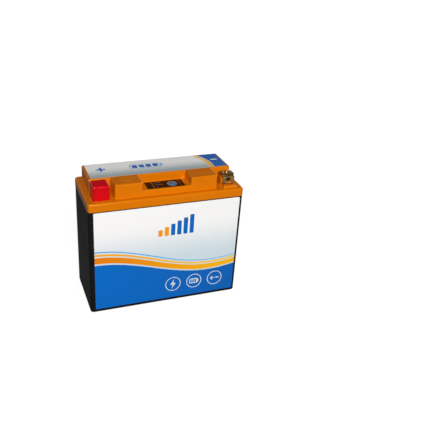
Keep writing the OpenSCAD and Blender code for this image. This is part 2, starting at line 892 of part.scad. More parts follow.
module board_spacers() {
    color("#e4e4dc") for (place = board_screw_places) difference() {
        rod(place, sheet_top, board_under, 2 * board_screw_r);
        rod(place, sheet_top - eps, board_under + eps, board_screw_r + screw_gap);
    }
}

module board_screws() {
    head = 1.8;
    color("#b8b8b8") for (place = board_screw_places) {
        rod(place, board_top, board_top + head, 2 * board_screw_r);
        rod(place, cell_top - holder_grip / 2, board_top + head / 2, board_screw_r - fixed_gap);
    }
}

module on_board(places, size) {
    for (place = places) column(place, size, board_top, board_top + size.z);
}

module bleed_resistors() {
    places = [for (i = [-1.5:1.5], j = [-1, 1]) [i * resistor_pitch, j * resistor_row_y]];
    color("#26262a") on_board(places, resistor_size);
}

module power_transistors() {
    places = [for (i = [-1, 1], j = [-1, 1]) [i * transistor_place.x, j * transistor_place.y]];
    color("#202024") on_board(places, transistor_size);
}

module control_chip() {
    color("#18181a") on_board([chip_place], chip_size);
}

module capacitors() {
    color("#4a4e58") for (i = [-1, 1])
        rod([i * capacitor_place.x, capacitor_place.y], board_top, board_top + capacitor_height, capacitor_r);
}

module board_socket() {
    color("#efe8d8") cable_socket(board_socket_y, board_top);
}

// Foams
module lower_foam() {
    color("#55575c") plate(holder_l, holder_w, case_floor, holder_bottom, inner_corner_r);
}

module hold_down_foams() {
    inner = board_l / 2 + foam_board_gap;
    outer = ridge_end - lid_wall - sense_gap;
    front = lead_foot_end_y + foam_lead_gap;
    back = ridge_back - lid_wall - sense_gap;
    color("#55575c") for (side = [0, 1]) mirror([side, 0, 0])
        block([inner, front, sheet_top], [outer, back, ridge_top - lid_wall]);
}

case();
lid();
front_label();
top_label();
test_panel();
test_button();
switch_plunger();
light_pipes();
positive_terminal();
positive_nut();
negative_terminal();
negative_nut();
terminal_cap();
terminal_keepers();
terminal_bushes();
post_nuts();
positive_lead();
negative_lead();
switch_body();
indicator_board();
indicator_lamps();
indicator_screws();
indicator_socket();
indicator_ribbon();
for (number = CELLS) cell(number);
cell_sleeves();
cell_rings();
upper_holder();
lower_holder();
busbar_positive();
busbar_middle();
busbar_negative();
busbar_left();
busbar_right();
sense_strips_long();
sense_strips_short();
insulator_sheet();
balance_board();
board_spacers();
board_screws();
bleed_resistors();
power_transistors();
control_chip();
capacitors();
board_socket();
lower_foam();
hold_down_foams();
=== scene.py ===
# %% [markdown]
# # A motorcycle battery, finished in Blender
#
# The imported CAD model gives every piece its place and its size. This lesson gives them their looks: the
# pieces that show get modelled shells with rounded edges, the labels get a print, and every piece gets a
# material named for what it is made of. Lengths are in metres, in the CAD model's own frame, and they are
# taken from the frame wherever the frame knows them.

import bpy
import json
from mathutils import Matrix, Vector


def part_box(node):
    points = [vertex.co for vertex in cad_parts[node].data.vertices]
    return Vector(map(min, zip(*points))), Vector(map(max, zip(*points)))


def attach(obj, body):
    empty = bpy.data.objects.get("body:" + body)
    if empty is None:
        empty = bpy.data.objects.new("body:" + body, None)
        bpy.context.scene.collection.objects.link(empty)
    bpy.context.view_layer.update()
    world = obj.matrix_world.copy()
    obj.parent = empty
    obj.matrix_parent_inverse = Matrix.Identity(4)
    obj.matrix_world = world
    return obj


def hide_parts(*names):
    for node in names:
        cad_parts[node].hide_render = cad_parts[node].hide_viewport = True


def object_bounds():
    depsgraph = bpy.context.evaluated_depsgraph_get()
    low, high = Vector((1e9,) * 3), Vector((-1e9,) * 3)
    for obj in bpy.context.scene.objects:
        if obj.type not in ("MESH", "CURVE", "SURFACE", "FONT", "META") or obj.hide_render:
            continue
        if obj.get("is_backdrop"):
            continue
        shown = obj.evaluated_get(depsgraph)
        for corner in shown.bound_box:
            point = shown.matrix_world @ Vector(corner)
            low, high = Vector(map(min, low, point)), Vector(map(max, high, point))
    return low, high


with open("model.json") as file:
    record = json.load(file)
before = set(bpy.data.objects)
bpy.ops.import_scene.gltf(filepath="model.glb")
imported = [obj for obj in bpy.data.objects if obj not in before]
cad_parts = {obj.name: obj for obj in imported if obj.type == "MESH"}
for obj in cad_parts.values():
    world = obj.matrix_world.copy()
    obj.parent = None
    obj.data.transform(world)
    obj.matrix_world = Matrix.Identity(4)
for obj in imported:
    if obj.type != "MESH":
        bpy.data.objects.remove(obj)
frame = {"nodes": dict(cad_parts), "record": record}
cad_bounds = [list(corner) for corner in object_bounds()]

import json
import math

import bmesh
import bpy
from mathutils import Matrix, Vector
from mathutils.geometry import delaunay_2d_cdt

MM = 0.001


def in_mm(lengths):
    """Lengths in millimetres, rounded for printing."""
    return [round(length / MM, 2) for length in lengths]


print("CAD box in mm:", [in_mm(corner) for corner in cad_bounds])

# %% [markdown]
# ## Camera
#
# A camera could be turned by eye until the picture looks right. Here it was fitted instead: the corners of
# the case and the lid were marked in the photograph, and a pinhole camera was solved for that puts the same
# corners of the CAD model on them. What comes out is a place, three turns, a focal length in pixels and
# the pixel that the lens points at.

# %% Place the camera
IMAGE_WIDTH = 440
IMAGE_HEIGHT = 446
FOCAL_PIXELS = 576.05
AXIS_PIXEL = (170.41, 212.28)
SENSOR_WIDTH = 36.0
camera_place = Vector((-156.53, -478.98, 339.84)) * MM
camera_turn = math.radians(-19.518)
camera_dip = math.radians(26.909)
camera_roll = math.radians(2.266)

lens = bpy.data.cameras.new("photo_camera")
lens.sensor_width = SENSOR_WIDTH
lens.lens = SENSOR_WIDTH * FOCAL_PIXELS / IMAGE_HEIGHT
lens.shift_x = (IMAGE_WIDTH / 2 - AXIS_PIXEL[0]) / IMAGE_HEIGHT
lens.shift_y = (AXIS_PIXEL[1] - IMAGE_HEIGHT / 2) / IMAGE_HEIGHT
camera = bpy.data.objects.new("photo_camera", lens)
bpy.context.scene.collection.objects.link(camera)
camera.matrix_world = (
    Matrix.Translation(camera_place)
    @ Matrix.Rotation(camera_turn, 4, "Z")
    @ Matrix.Rotation(math.pi / 2 - camera_dip, 4, "X")
    @ Matrix.Rotation(camera_roll, 4, "Z")
)
bpy.context.scene.camera = camera
print("lens", round(lens.lens, 2), "mm, shift", round(lens.shift_x, 4), round(lens.shift_y, 4))

# %% [markdown]
# ## Colours and nodes
#
# Colours are easiest to read off a photograph as hex values, which are sRGB, while shaders work in linear
# light. One function turns the first into the second. Another adds a shader node with its settings and its
# inputs, so that a material reads as a short list of what feeds what.

# %% Colours
def linear(hex_colour):
    """An sRGB hex colour as linear red, green, blue and alpha."""
    channels = [int(hex_colour[i:i + 2], 16) / 255 for i in (1, 3, 5)]
    return [c / 12.92 if c <= 0.04045 else ((c + 0.055) / 1.055) ** 2.4 for c in channels] + [1.0]


WHITE = linear("#ffffff")
print("orange in linear light:", [round(c, 3) for c in linear("#d87300")])

# %% Nodes and materials
def add(tree, kind, inputs=None, **settings):
    """One shader node of a kind. An input is a value, or another node's output to link."""
    node = tree.nodes.new("ShaderNode" + kind)
    for name, value in settings.items():
        setattr(node, name, value)
    for socket, value in (inputs or {}).items():
        if isinstance(value, bpy.types.NodeSocket):
            tree.links.new(value, node.inputs[socket])
        else:
            node.inputs[socket].default_value = value
    return node


def per_mm(size_mm):
    """The texture scale at which a pattern's features are about size_mm across."""
    return 1 / (size_mm * MM)


def new_material(name, colour, roughness, **sockets):
    """A material with one plain surface, its node tree and its shader."""
    material = bpy.data.materials.new(name)
    material.use_nodes = True
    tree = material.node_tree
    shader = tree.nodes["Principled BSDF"]
    shader.inputs["Base Color"].default_value = linear(colour)
    shader.inputs["Roughness"].default_value = roughness
    for socket, value in sockets.items():
        shader.inputs[socket.replace("_", " ")].default_value = value
    return material, tree, shader


print("a pattern of 0.7 mm has a texture scale of", round(per_mm(0.7)))

# %% [markdown]
# ### Patches and bumps
#
# No moulded, rolled or plated skin is the same all over. Its colour and its shine drift from place to place,
# and it has a grain. Both could be painted by hand, but noise that is fixed to the object does it on every
# side at once. One function lets colour and roughness drift together, one adds the grain, and a third makes
# a material with both. Patches are given as a size in millimetres, two colours, two values of roughness and
# a level of detail, and bumps as a size, a depth and a stretch along each axis.

# %% Surfaces with patches and bumps
# A Mix node has several sockets of one name, so the two colours and their result go by number
MIX_A = 6
MIX_B = 7
MIX_RESULT = 2
# Most of a noise texture's values lie between these
NOISE_LOW = 0.3
NOISE_HIGH = 0.7
GRAIN_DETAIL = 3.0


def mottle(tree, shader, size_mm, colours, roughness, detail=2.0):
    """Lets the colour and the roughness drift between two values over patches of about size_mm."""
    place = add(tree, "TexCoord").outputs["Object"]
    noise = add(tree, "TexNoise", {"Vector": place, "Scale": per_mm(size_mm), "Detail": detail})
    span = {"Value": noise.outputs["Fac"], "From Min": NOISE_LOW, "From Max": NOISE_HIGH}
    drift = add(tree, "MapRange", span).outputs["Result"]
    blend = add(tree, "Mix", {0: drift, MIX_A: linear(colours[0]), MIX_B: linear(colours[1])},
                data_type="RGBA")
    shine = add(tree, "MapRange", {**span, "To Min": roughness[0], "To Max": roughness[1]})
    tree.links.new(blend.outputs[MIX_RESULT], shader.inputs["Base Color"])
    tree.links.new(shine.outputs["Result"], shader.inputs["Roughness"])


def grain(tree, shader, size_mm, depth_mm, stretch=(1, 1, 1)):
    """Roughens the surface with bumps about size_mm across and depth_mm deep."""
    place = add(tree, "TexCoord").outputs["Object"]
    pulled = add(tree, "Mapping", {"Vector": place, "Scale": stretch}).outputs["Vector"]
    bumps = add(tree, "TexNoise", {"Vector": pulled, "Scale": per_mm(size_mm), "Detail": GRAIN_DETAIL})
    bump = add(tree, "Bump", {"Height": bumps.outputs["Fac"], "Strength": 1.0, "Distance": depth_mm * MM})
    tree.links.new(bump.outputs["Normal"], shader.inputs["Normal"])


def surface(name, colour, roughness, patches, bumps=None, **sockets):
    """A material with patches, and with bumps where its skin has them."""
    material, tree, shader = new_material(name, colour, roughness, **sockets)
    mottle(tree, shader, *patches)
    if bumps:
        grain(tree, shader, *bumps)
    return material


print("patches take up a noise texture's values from", NOISE_LOW, "to", NOISE_HIGH)

# %% [markdown]
# ## Backdrop, floor and light
#
# The battery stands on white paper in an otherwise dim studio. The key light is a large soft box in front of
# it, a little to the left and not far above, because in the photograph the front is the brightest side, the
# top is about half as bright and the left end is dark. A weaker box stands low behind it, to the right, and
# keeps the back and the right end from going black. The white around the object isn't made by more light:
# the paper and the backdrop look white to the camera, dimmer in reflections, and light the object much less.

# %% White backdrop in a dim room
AMBIENT = 0.07
# The backdrop fades out between this height and twice this height, as the sine of an elevation
BACKDROP_TOP = 0.1
ROOM_DARK = 0.05

scene = bpy.context.scene
scene.view_settings.view_transform = "Standard"


def seen_rays(tree, in_reflections):
    """1 for rays from the camera or through glass, a share for reflections, 0 for rays that light."""
    rays = add(tree, "LightPath").outputs
    mirrored = add(tree, "Math", {0: rays["Is Glossy Ray"], 1: in_reflections}, operation="MULTIPLY")
    looks = add(tree, "Math", {0: rays["Is Camera Ray"], 1: mirrored.outputs[0]}, operation="MAXIMUM")
    seen = add(tree, "Math", {0: looks.outputs[0], 1: rays["Is Transmission Ray"]}, operation="MAXIMUM")
    return seen.outputs[0]


world = bpy.data.worlds.new("white_backdrop_in_dim_studio")
scene.world = world
world.use_nodes = True
tree = world.node_tree
lighting = tree.nodes["Background"]
lighting.inputs["Strength"].default_value = AMBIENT
lighting.inputs["Color"].default_value = WHITE
up = add(tree, "SeparateXYZ", {"Vector": add(tree, "TexCoord").outputs["Generated"]}).outputs["Z"]
fade = add(tree, "MapRange", {"Value": up, "From Min": BACKDROP_TOP, "From Max": 2 * BACKDROP_TOP,
                              "To Min": 1.0, "To Max": ROOM_DARK})
backdrop = add(tree, "Background", {"Color": WHITE, "Strength": fade.outputs["Result"]})
sky = add(tree, "MixShader", {0: seen_rays(tree, 1.0), 1: lighting.outputs[0], 2: backdrop.outputs[0]})
tree.links.new(sky.outputs[0], tree.nodes["World Output"].inputs["Surface"])
print("backdrop white up to", round(math.degrees(math.asin(BACKDROP_TOP)), 1), "degrees")

# %% Paper floor
FLOOR_SIZE = 12.0
# The paper's white close to the battery and far from it, and the distances between which it changes
PAPER_GLOW = (0.90, 1.0)
GLOW_REACH = (0.15, 0.60)
# How bright the paper is in reflections, and where that fades out towards the back
PAPER_IN_REFLECTIONS = 0.06
LIT_PAPER = (-0.25, -0.05)

half_floor = FLOOR_SIZE / 2
floor_corners = [(-half_floor, -half_floor, 0), (half_floor, -half_floor, 0),
                 (half_floor, half_floor, 0), (-half_floor, half_floor, 0)]
floor_mesh = bpy.data.meshes.new("studio_floor")
floor_mesh.from_pydata(floor_corners, [], [(0, 1, 2, 3)])
floor = bpy.data.objects.new("studio_floor", floor_mesh)
scene.collection.objects.link(floor)
floor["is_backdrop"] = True

# Matt paper: hardly any gloss, so that only its white and the soft shadow show
paper, tree, shader = new_material("white_paper_sweep", "#707070", 0.9)
spot = add(tree, "TexCoord").outputs["Object"]
away = add(tree, "VectorMath", {0: spot}, operation="LENGTH").outputs["Value"]
glow_level = add(tree, "MapRange", {"Value": away, "From Min": GLOW_REACH[0], "From Max": GLOW_REACH[1],
                                    "To Min": PAPER_GLOW[0], "To Max": PAPER_GLOW[1]})
glow = add(tree, "Emission", {"Color": WHITE, "Strength": glow_level.outputs["Result"]})
glowing = add(tree, "AddShader", {0: glow.outputs[0], 1: shader.outputs[0]})
depth = add(tree, "SeparateXYZ", {"Vector": spot}).outputs["Y"]
mirrored = add(tree, "MapRange", {"Value": depth, "From Min": LIT_PAPER[0], "From Max": LIT_PAPER[1],
                                  "To Min": PAPER_IN_REFLECTIONS, "To Max": 0.0}).outputs["Result"]
sweep = add(tree, "MixShader", {0: seen_rays(tree, mirrored), 1: shader.outputs[0], 2: glowing.outputs[0]})
tree.links.new(sweep.outputs[0], tree.nodes["Material Output"].inputs["Surface"])
floor_mesh.materials.append(paper)
print("paper floor", FLOOR_SIZE, "m across")

# %% Soft boxes
KEY_POWER = 29.2
KEY_SIZE = 0.8
KEY_PLACE = Vector((-0.22, -1.39, 0.90))
BACK_POWER = 14.0
BACK_SIZE = 0.6
BACK_PLACE = Vector((1.28, 1.14, 0.5))

battery_middle = (Vector(cad_bounds[0]) + Vector(cad_bounds[1])) / 2


def soft_box(name, power, size, place):
    """A square area light that faces the battery."""
    light = bpy.data.lights.new(name, "AREA")
    light.energy = power
    light.size = size
    box = bpy.data.objects.new(name, light)
    scene.collection.objects.link(box)
    box.location = place
    box.rotation_euler = (battery_middle - place).to_track_quat("-Z", "Y").to_euler()
    print(name, round((battery_middle - place).length, 2), "m away")


soft_box("front_soft_box", KEY_POWER, KEY_SIZE, KEY_PLACE)
soft_box("back_soft_box", BACK_POWER, BACK_SIZE, BACK_PLACE)

# %% [markdown]
# ## Making solids
#
# The shells of a moulded battery are prisms: a plan outline with rounded corners, pulled up, with its edges
# rolled over. A Bevel modifier could round a sharp block, but where hollow and outward edges meet it leaves
# knots. Here each outline is drawn from its corners and their radii, and it can be grown or shrunk by any
# amount. A solid is then a stack of such rings, and a rounded edge is a few rings along a quarter circle.

# %% Outlines
ARC_STEPS = 6
CIRCLE_SIDES = 48
SMALLEST_ARC = 0.02 * MM


def outline(corners, grow=0.0):
    """A counter-clockwise outline from (x, y, corner radius), grown outwards."""
    points = []
    for i, (x, y, radius) in enumerate(corners):
        here = Vector((x, y))
        way_in = (here - Vector(corners[i - 1][:2])).normalized()
        way_out = (Vector(corners[(i + 1) % len(corners)][:2]) - here).normalized()
        side_in = Vector((way_in.y, -way_in.x))
        side_out = Vector((way_out.y, -way_out.x))
        turn = math.atan2(way_in.cross(way_out), way_in.dot(way_out))
        bulge = math.copysign(1, turn)
        arc_radius = max(radius + bulge * grow, SMALLEST_ARC)
        mitre = (side_in + side_out) / (1 + side_in.dot(side_out))
        centre = here + mitre * (grow - bulge * arc_radius)
        for step in range(ARC_STEPS + 1):
            side = Matrix.Rotation(turn * step / ARC_STEPS, 2) @ side_in
            points.append(centre + bulge * arc_radius * side)
    return points


def box_corners(low, high, radius):
    """The corners of a rectangle, for outline."""
    return [(low[0], low[1], radius), (high[0], low[1], radius), (high[0], high[1], radius),
            (low[0], high[1], radius)]


def bar_about(x, y, length, width, corner):
    """The corners of a bar about a point."""
    return box_corners((x - length / 2, y - width / 2), (x + length / 2, y + width / 2), corner)


def circle(radius, sides=CIRCLE_SIDES):
    """Points round a circle, counter-clockwise."""
    turns = [math.tau * k / sides for k in range(sides)]
    return [(radius * math.cos(turn), radius * math.sin(turn)) for turn in turns]


print("a rounded rectangle has", len(outline(bar_about(0, 0, 2 * MM, MM, MM / 4))), "points")

# %% Edge profiles
ROUND_STEPS = 5


def quarter():
    """Sine and cosine along a quarter turn."""
    turns = [math.pi / 2 * k / ROUND_STEPS for k in range(ROUND_STEPS + 1)]
    return [(math.sin(turn), math.cos(turn)) for turn in turns]


def straight(low, high):
    """A (grow, height) profile with square edges."""
    return [(0.0, low), (0.0, high)]


def roll_over(radius, top):
    """(grow, height) pairs from a wall over a rounded edge on to a flat top."""
    return [(radius * (c - 1), top + radius * (s - 1)) for s, c in quarter()]


def roll_under(radius, foot):
    """(grow, height) pairs from a flat underside round its edge into a wall."""
    return [(radius * (s - 1), foot + radius * (1 - c)) for s, c in quarter()]


def sweep_up(radius, foot):
    """(grow, height) pairs of the hollow fillet from a flat floor up into a wall."""
    return [(radius * (1 - s), foot + radius * (1 - c)) for s, c in quarter()]


print("a 1 mm edge rolls over through", in_mm(height for _, height in roll_over(MM, MM)), "mm")

# %% Rings and solids
# Columns are where a plan's first axis, its second axis and its height go
UPRIGHT = Matrix.Identity(3)
FROM_FRONT = Matrix(((1, 0, 0), (0, 0, -1), (0, 1, 0)))
ALONG_X = Matrix(((0, 0, 1), (1, 0, 0), (0, 1, 0)))


def new_piece(name, shape):
    """An object from a finished bmesh."""
    mesh = bpy.data.meshes.new(name)
    shape.to_mesh(mesh)
    shape.free()
    piece = bpy.data.objects.new(name, mesh)
    scene.collection.objects.link(piece)
    return piece


def rings_of(corners, profile):
    """An outline's rings at (grow, height) pairs."""
    return [[(*point, height) for point in outline(corners, grow)] for grow, height in profile]


def wall(shape, loops):
    """Faces from each loop of points to the next."""
    for low, high in zip(loops, loops[1:]):
        for i in range(len(low)):
            shape.faces.new((low[i - 1], low[i], high[i], high[i - 1]))


def solid(name, rings, axes=UPRIGHT, place=(0, 0, 0)):
    """A closed solid through rings of equal counts, turned to axes and moved to place."""
    shape = bmesh.new()
    loops = [[shape.verts.new(axes @ Vector(point) + Vector(place)) for point in ring] for ring in rings]
    wall(shape, loops)
    shape.faces.new(loops[0][::-1])
    shape.faces.new(loops[-1])
    return new_piece(name, shape)


def prism(name, corners, profile, axes=UPRIGHT, place=(0, 0, 0)):
    """A solid on an outline, whose side follows (grow, height) pairs."""
    return solid(name, rings_of(corners, profile), axes, place)


def turned(name, profile, axes=UPRIGHT, place=(0, 0, 0)):
    """A solid of revolution, from (radius, height) pairs."""
    rings = [[(*point, height) for point in circle(radius)] for radius, height in profile]
    return solid(name, rings, axes, place)


print("a plan drawn from the front is pulled along", tuple(FROM_FRONT.col[2]))

# %% Carve, dress and settle a piece
SMOOTH_ANGLE = math.radians(35)


def carve(piece, operation, *tools):
    """Adds each tool's solid to piece, or cuts it away, and removes the tool."""
    for tool in tools:
        step = piece.modifiers.new(tool.name, "BOOLEAN")
        step.operation = operation
        step.solver = "EXACT"
        step.object = tool
        graph = bpy.context.evaluated_depsgraph_get()
        result = bpy.data.meshes.new_from_object(piece.evaluated_get(graph))
        piece.modifiers.clear()
        before = piece.data
        piece.data = result
        result.name = piece.name
        bpy.data.meshes.remove(before)
        bpy.data.objects.remove(tool)


def dress(piece, *materials):
    """Gives a piece its materials, and smooth rounded edges beside flats that stay flat."""
    for material in materials:
        piece.data.materials.append(material)
    piece.data.polygons.foreach_set("use_smooth", [True] * len(piece.data.polygons))
    piece.data.set_sharp_from_angle(angle=SMOOTH_ANGLE)
    normals = piece.modifiers.new("flat_faces_lead", "WEIGHTED_NORMAL")
    normals.keep_sharp = True


def settle(piece, body, slot, *nodes):
    """Puts a finished piece on its CAD body, in the place of CAD nodes."""
    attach(piece, body)
    if nodes:
        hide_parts(*nodes)
    print(piece.name, len(piece.data.polygons), "faces, for", nodes or "no node of its own")


print("edges under", round(math.degrees(SMOOTH_ANGLE)), "degrees are smoothed")

# %% [markdown]
# ## Plastics of the shells
#
# The lid and the case are injection moulded polypropylene, coloured right through. The lid's mould is
# polished and only lightly spark eroded, which leaves a semi-gloss skin, and the pigment just under that
# skin tints its highlights. The case's mould is eroded more coarsely, so the case is dull. The real grains
# are about 0.1 mm. They are drawn at 0.7 mm on the lid and 1.4 mm on the case, as coarse as they need to be
# to show at all.

# %% Orange and black polypropylene, moulded
# Semi-gloss orange: even faces, with thin warm lines of light along the rolled edges
lid_plastic = surface("orange_polypropylene_moulded", "#d87300", 0.18,
                      (18.0, ("#d67100", "#da7500"), (0.16, 0.20)), (0.7, 0.012),
                      IOR=1.49, Specular_IOR_Level=0.8, Specular_Tint=linear("#ffd470"))

# Dull black: a soft grey sheen that the grain breaks up
case_plastic = surface("black_polypropylene_moulded", "#0f0f11", 0.45,
                       (5.0, ("#0d0d0f", "#121214"), (0.40, 0.50)), (1.4, 0.07),
                       IOR=1.49, Specular_IOR_Level=0.2)
print("shell plastics:", lid_plastic.name, case_plastic.name)

# %% [markdown]
# ## Case
#
# The case is a deep open box with rounded upright corners and a soft edge round its foot. Its ends lean out
# a little towards the rim, so that the moulding lets go of its mould. It could be a cube with a Bevel and a
# Solidify modifier, but its outside corners have a larger radius than its inside ones. One stack of rings
# makes it whole: round the foot, up the outside, over the rim, down the inside and out on to the floor.

# %% Case
CASE_CORNER = 3.0 * MM
CASE_FOOT_ROUND = 1.6 * MM
# How far each end stands out of the CAD case, at the foot and at the rim
CASE_DRAFT = (-0.25 * MM, 0.35 * MM)
CASE_WALL = 2.5 * MM
CASE_FLOOR = 3.0 * MM
CASE_INNER_CORNER = 1.0 * MM
RIM_ROUND = 0.25 * MM

case_low, case_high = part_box("case")


def leaned(x, y, height):
    """A point of the case's outside, with its end walls leaned out towards the top."""
    share = (height - case_low.z) / (case_high.z - case_low.z)
    out = CASE_DRAFT[0] + (CASE_DRAFT[1] - CASE_DRAFT[0]) * share
    return x + math.copysign(out, x), y, height


case_plan = box_corners(case_low, case_high, CASE_CORNER)
inside_plan = box_corners((case_low.x + CASE_WALL, case_low.y + CASE_WALL),
                          (case_high.x - CASE_WALL, case_high.y - CASE_WALL), CASE_INNER_CORNER)
case_side = roll_under(CASE_FOOT_ROUND, case_low.z) + roll_over(RIM_ROUND, case_high.z)
case_rings = [[leaned(*point) for point in ring] for ring in rings_of(case_plan, case_side)]
case_rings += rings_of(inside_plan, straight(case_high.z, case_low.z + CASE_FLOOR))
case_shell = solid("case_shell", case_rings)
dress(case_shell, case_plastic)
settle(case_shell, "battery", "case_black", "case")

# %% [markdown]
# ## Lid
#
# The lid is one moulding: a band that overhangs the case, a flat deck, and a ridge whose two blocks stand
# forward beside a shallow middle recess. Every outside edge is rolled over by a millimetre or two, and every
# inside one has a fillet, which is what gives the photograph its thin bright lines. The band and the ridge
# are two stacks of rings in one mesh, and the deck is filled in between them. The recess is cut with a
# cutter that flares where it leaves the ridge, so that the cut's own edges come out rounded too.

# %% Lid's plan
LID_CORNER = 3.5 * MM
RIDGE_CORNER = 1.4 * MM
POCKET_CORNER = 1.2 * MM
RIDGE_FRONT = -27.0 * MM
BLOCK_END = 49.1 * MM
RIDGE_END_MARGIN = 2.1 * MM
RIDGE_SIDE_MARGIN = 1.6 * MM

lid_low, lid_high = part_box("lid")
label_low, label_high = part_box("top_label")
joint_z = case_high.z
deck_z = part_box("terminal_cap")[0].z
ridge_top = label_low.z
recess_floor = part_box("test_panel")[0].z
ridge_end = label_high.x + RIDGE_END_MARGIN
plateau_front = label_low.y - RIDGE_SIDE_MARGIN
ridge_back = label_high.y + RIDGE_SIDE_MARGIN

band_plan = box_corners(lid_low, lid_high, LID_CORNER)
ridge_plan = [
    (-ridge_end, plateau_front, RIDGE_CORNER),
    (-BLOCK_END, plateau_front, POCKET_CORNER),
    (-BLOCK_END, RIDGE_FRONT, RIDGE_CORNER),
    (BLOCK_END, RIDGE_FRONT, RIDGE_CORNER),
    (BLOCK_END, plateau_front, POCKET_CORNER),
    (ridge_end, plateau_front, RIDGE_CORNER),
    (ridge_end, ridge_back, RIDGE_CORNER),
    (-ridge_end, ridge_back, RIDGE_CORNER),
]
print("lid box", in_mm(lid_high - lid_low), "mm, ridge's half length", in_mm([ridge_end]), "mm")

# %% Lid's outer skin
BAND_EDGE = 1.9 * MM
BAND_FOOT_EDGE = 0.5 * MM
RIDGE_EDGE = 1.2 * MM
RIDGE_FILLET = 0.7 * MM

band_side = roll_under(BAND_FOOT_EDGE, joint_z) + roll_over(BAND_EDGE, deck_z)
ridge_side = sweep_up(RIDGE_FILLET, deck_z) + roll_over(RIDGE_EDGE, ridge_top)


def stack(shape, corners, profile):
    """Rings of an outline along a profile, with walls between them. Gives the first and last ring."""
    loops = [[shape.verts.new(point) for point in ring] for ring in rings_of(corners, profile)]
    wall(shape, loops)
    return loops[0], loops[-1]


def ring_edges(shape, ring):
    """The edges round a ring."""
    return [shape.edges.get((ring[i - 1], ring[i])) for i in range(len(ring))]


shape = bmesh.new()
band_foot, band_top = stack(shape, band_plan, band_side)
ridge_foot, ridge_rim = stack(shape, ridge_plan, ridge_side)
shape.faces.new(band_foot[::-1])
shape.faces.new(ridge_rim)
bmesh.ops.triangle_fill(shape, edges=ring_edges(shape, band_top) + ring_edges(shape, ridge_foot),
                        normal=(0, 0, 1), use_beauty=True)
bmesh.ops.recalc_face_normals(shape, faces=shape.faces)
lid_shell = new_piece("lid_shell", shape)
print("lid's outer skin has", len(lid_shell.data.polygons), "faces")

# %% Middle recess
RECESS_HALF = 23.1 * MM
RECESS_FILLET = 0.8 * MM
RECESS_BACK_FILLET = 0.7 * MM
RECESS_EDGE = 1.2 * MM
CUT_MARGIN = 3.0 * MM


def recess_section(grow, sideways, backwards, y):
    """One cross-section of the recess cutter at y: an upright U with flared lips and a rounded foot."""
    side = RECESS_HALF + grow
    foot_radius = RECESS_FILLET + grow
    foot = recess_floor - grow
    lip = ridge_top - RECESS_EDGE
    half = [(side + RECESS_EDGE * sideways, y + RECESS_EDGE * backwards, ridge_top + CUT_MARGIN)]
    for s, c in quarter():
        flare = RECESS_EDGE * (1 - s)
        half.append((side + flare * sideways, y + flare * backwards, lip + RECESS_EDGE * c))
    half += [(side - foot_radius * (1 - c), y, foot + foot_radius * (1 - s)) for s, c in quarter()]
    return half + [(-x, y, z) for x, y, z in half[::-1]]


sections = [recess_section(RECESS_EDGE, 1, 0, RIDGE_FRONT - CUT_MARGIN)]
sections += [recess_section(RECESS_EDGE * (1 - s), 1, 0, RIDGE_FRONT + RECESS_EDGE * (1 - c))
             for s, c in quarter()]
sections += [recess_section(RECESS_BACK_FILLET * (c - 1), c, s, plateau_front + RECESS_BACK_FILLET * (s - 1))
             for s, c in quarter()]
shape = bmesh.new()
loops = [[shape.verts.new(point) for point in section] for section in sections]
wall(shape, loops)
for end in (loops[0], loops[-1]):
    for i in range(len(end) // 2 - 1):
        shape.faces.new((end[i], end[i + 1], end[-2 - i], end[-1 - i]))
bmesh.ops.recalc_face_normals(shape, faces=shape.faces)
carve(lid_shell, "DIFFERENCE", new_piece("recess_cutter", shape))
print("recess's half length and depth", in_mm((RECESS_HALF, ridge_top - recess_floor)), "mm")

# %% [markdown]
# ### Inside, marks and holes
#
# The lid is hollow, with walls a little over two millimetres thick, and a lip that plugs into the case. A
# raised plus and minus are moulded on the blocks. Each terminal stands on a seat, and the open one's seat
# has a low lip in front. Holes let the terminal posts, the light pipes and the button through. These are all
# plain booleans on flat faces, which is where booleans are at their best.

# %% Lid inside
LID_WALL = 2.2 * MM
LIP_DEPTH = 5.0 * MM
LIP_GAP = 0.15 * MM
LIP_WALL = 1.8 * MM
RECESS_THICK = 3.0 * MM
OVERLAP = 0.5 * MM
INNER_CORNER = 1.0 * MM


def grown(corners, amount):
    """The corners of a rectangle, drawn outwards by amount."""
    xs = [corner[0] for corner in corners]
    ys = [corner[1] for corner in corners]
    low = (min(xs) - amount, min(ys) - amount)
    high = (max(xs) + amount, max(ys) + amount)
    return box_corners(low, high, INNER_CORNER)


lip_plan = grown(inside_plan, -LIP_GAP)
lip_inside = grown(lip_plan, -LIP_WALL)
carve(lid_shell, "UNION", prism("lip", lip_plan, straight(joint_z - LIP_DEPTH, joint_z + OVERLAP)))
plateau_room = box_corners((-ridge_end + LID_WALL, plateau_front + LID_WALL),
                           (ridge_end - LID_WALL, ridge_back - LID_WALL), INNER_CORNER)
front_rooms = [
    ("left_block_room", -BLOCK_END + LID_WALL, -RECESS_HALF - LID_WALL, ridge_top - LID_WALL),
    ("recess_room", -RECESS_HALF - 2 * LID_WALL, RECESS_HALF + 2 * LID_WALL, recess_floor - RECESS_THICK),
    ("right_block_room", RECESS_HALF + LID_WALL, BLOCK_END - LID_WALL, ridge_top - LID_WALL),
]
under = joint_z - LIP_DEPTH - OVERLAP
carve(lid_shell, "DIFFERENCE",
      prism("lip_room", lip_inside, straight(under, deck_z - LID_WALL)),
      prism("plateau_room", plateau_room, straight(joint_z, ridge_top - LID_WALL)))
for name, left, right, roof in front_rooms:
    room = box_corners((left, RIDGE_FRONT + LID_WALL), (right, plateau_front + 2 * LID_WALL), INNER_CORNER)
    carve(lid_shell, "DIFFERENCE", prism(name, room, straight(joint_z + OVERLAP, roof)))
print("lid's wall and lip's depth", in_mm((LID_WALL, LIP_DEPTH)), "mm")

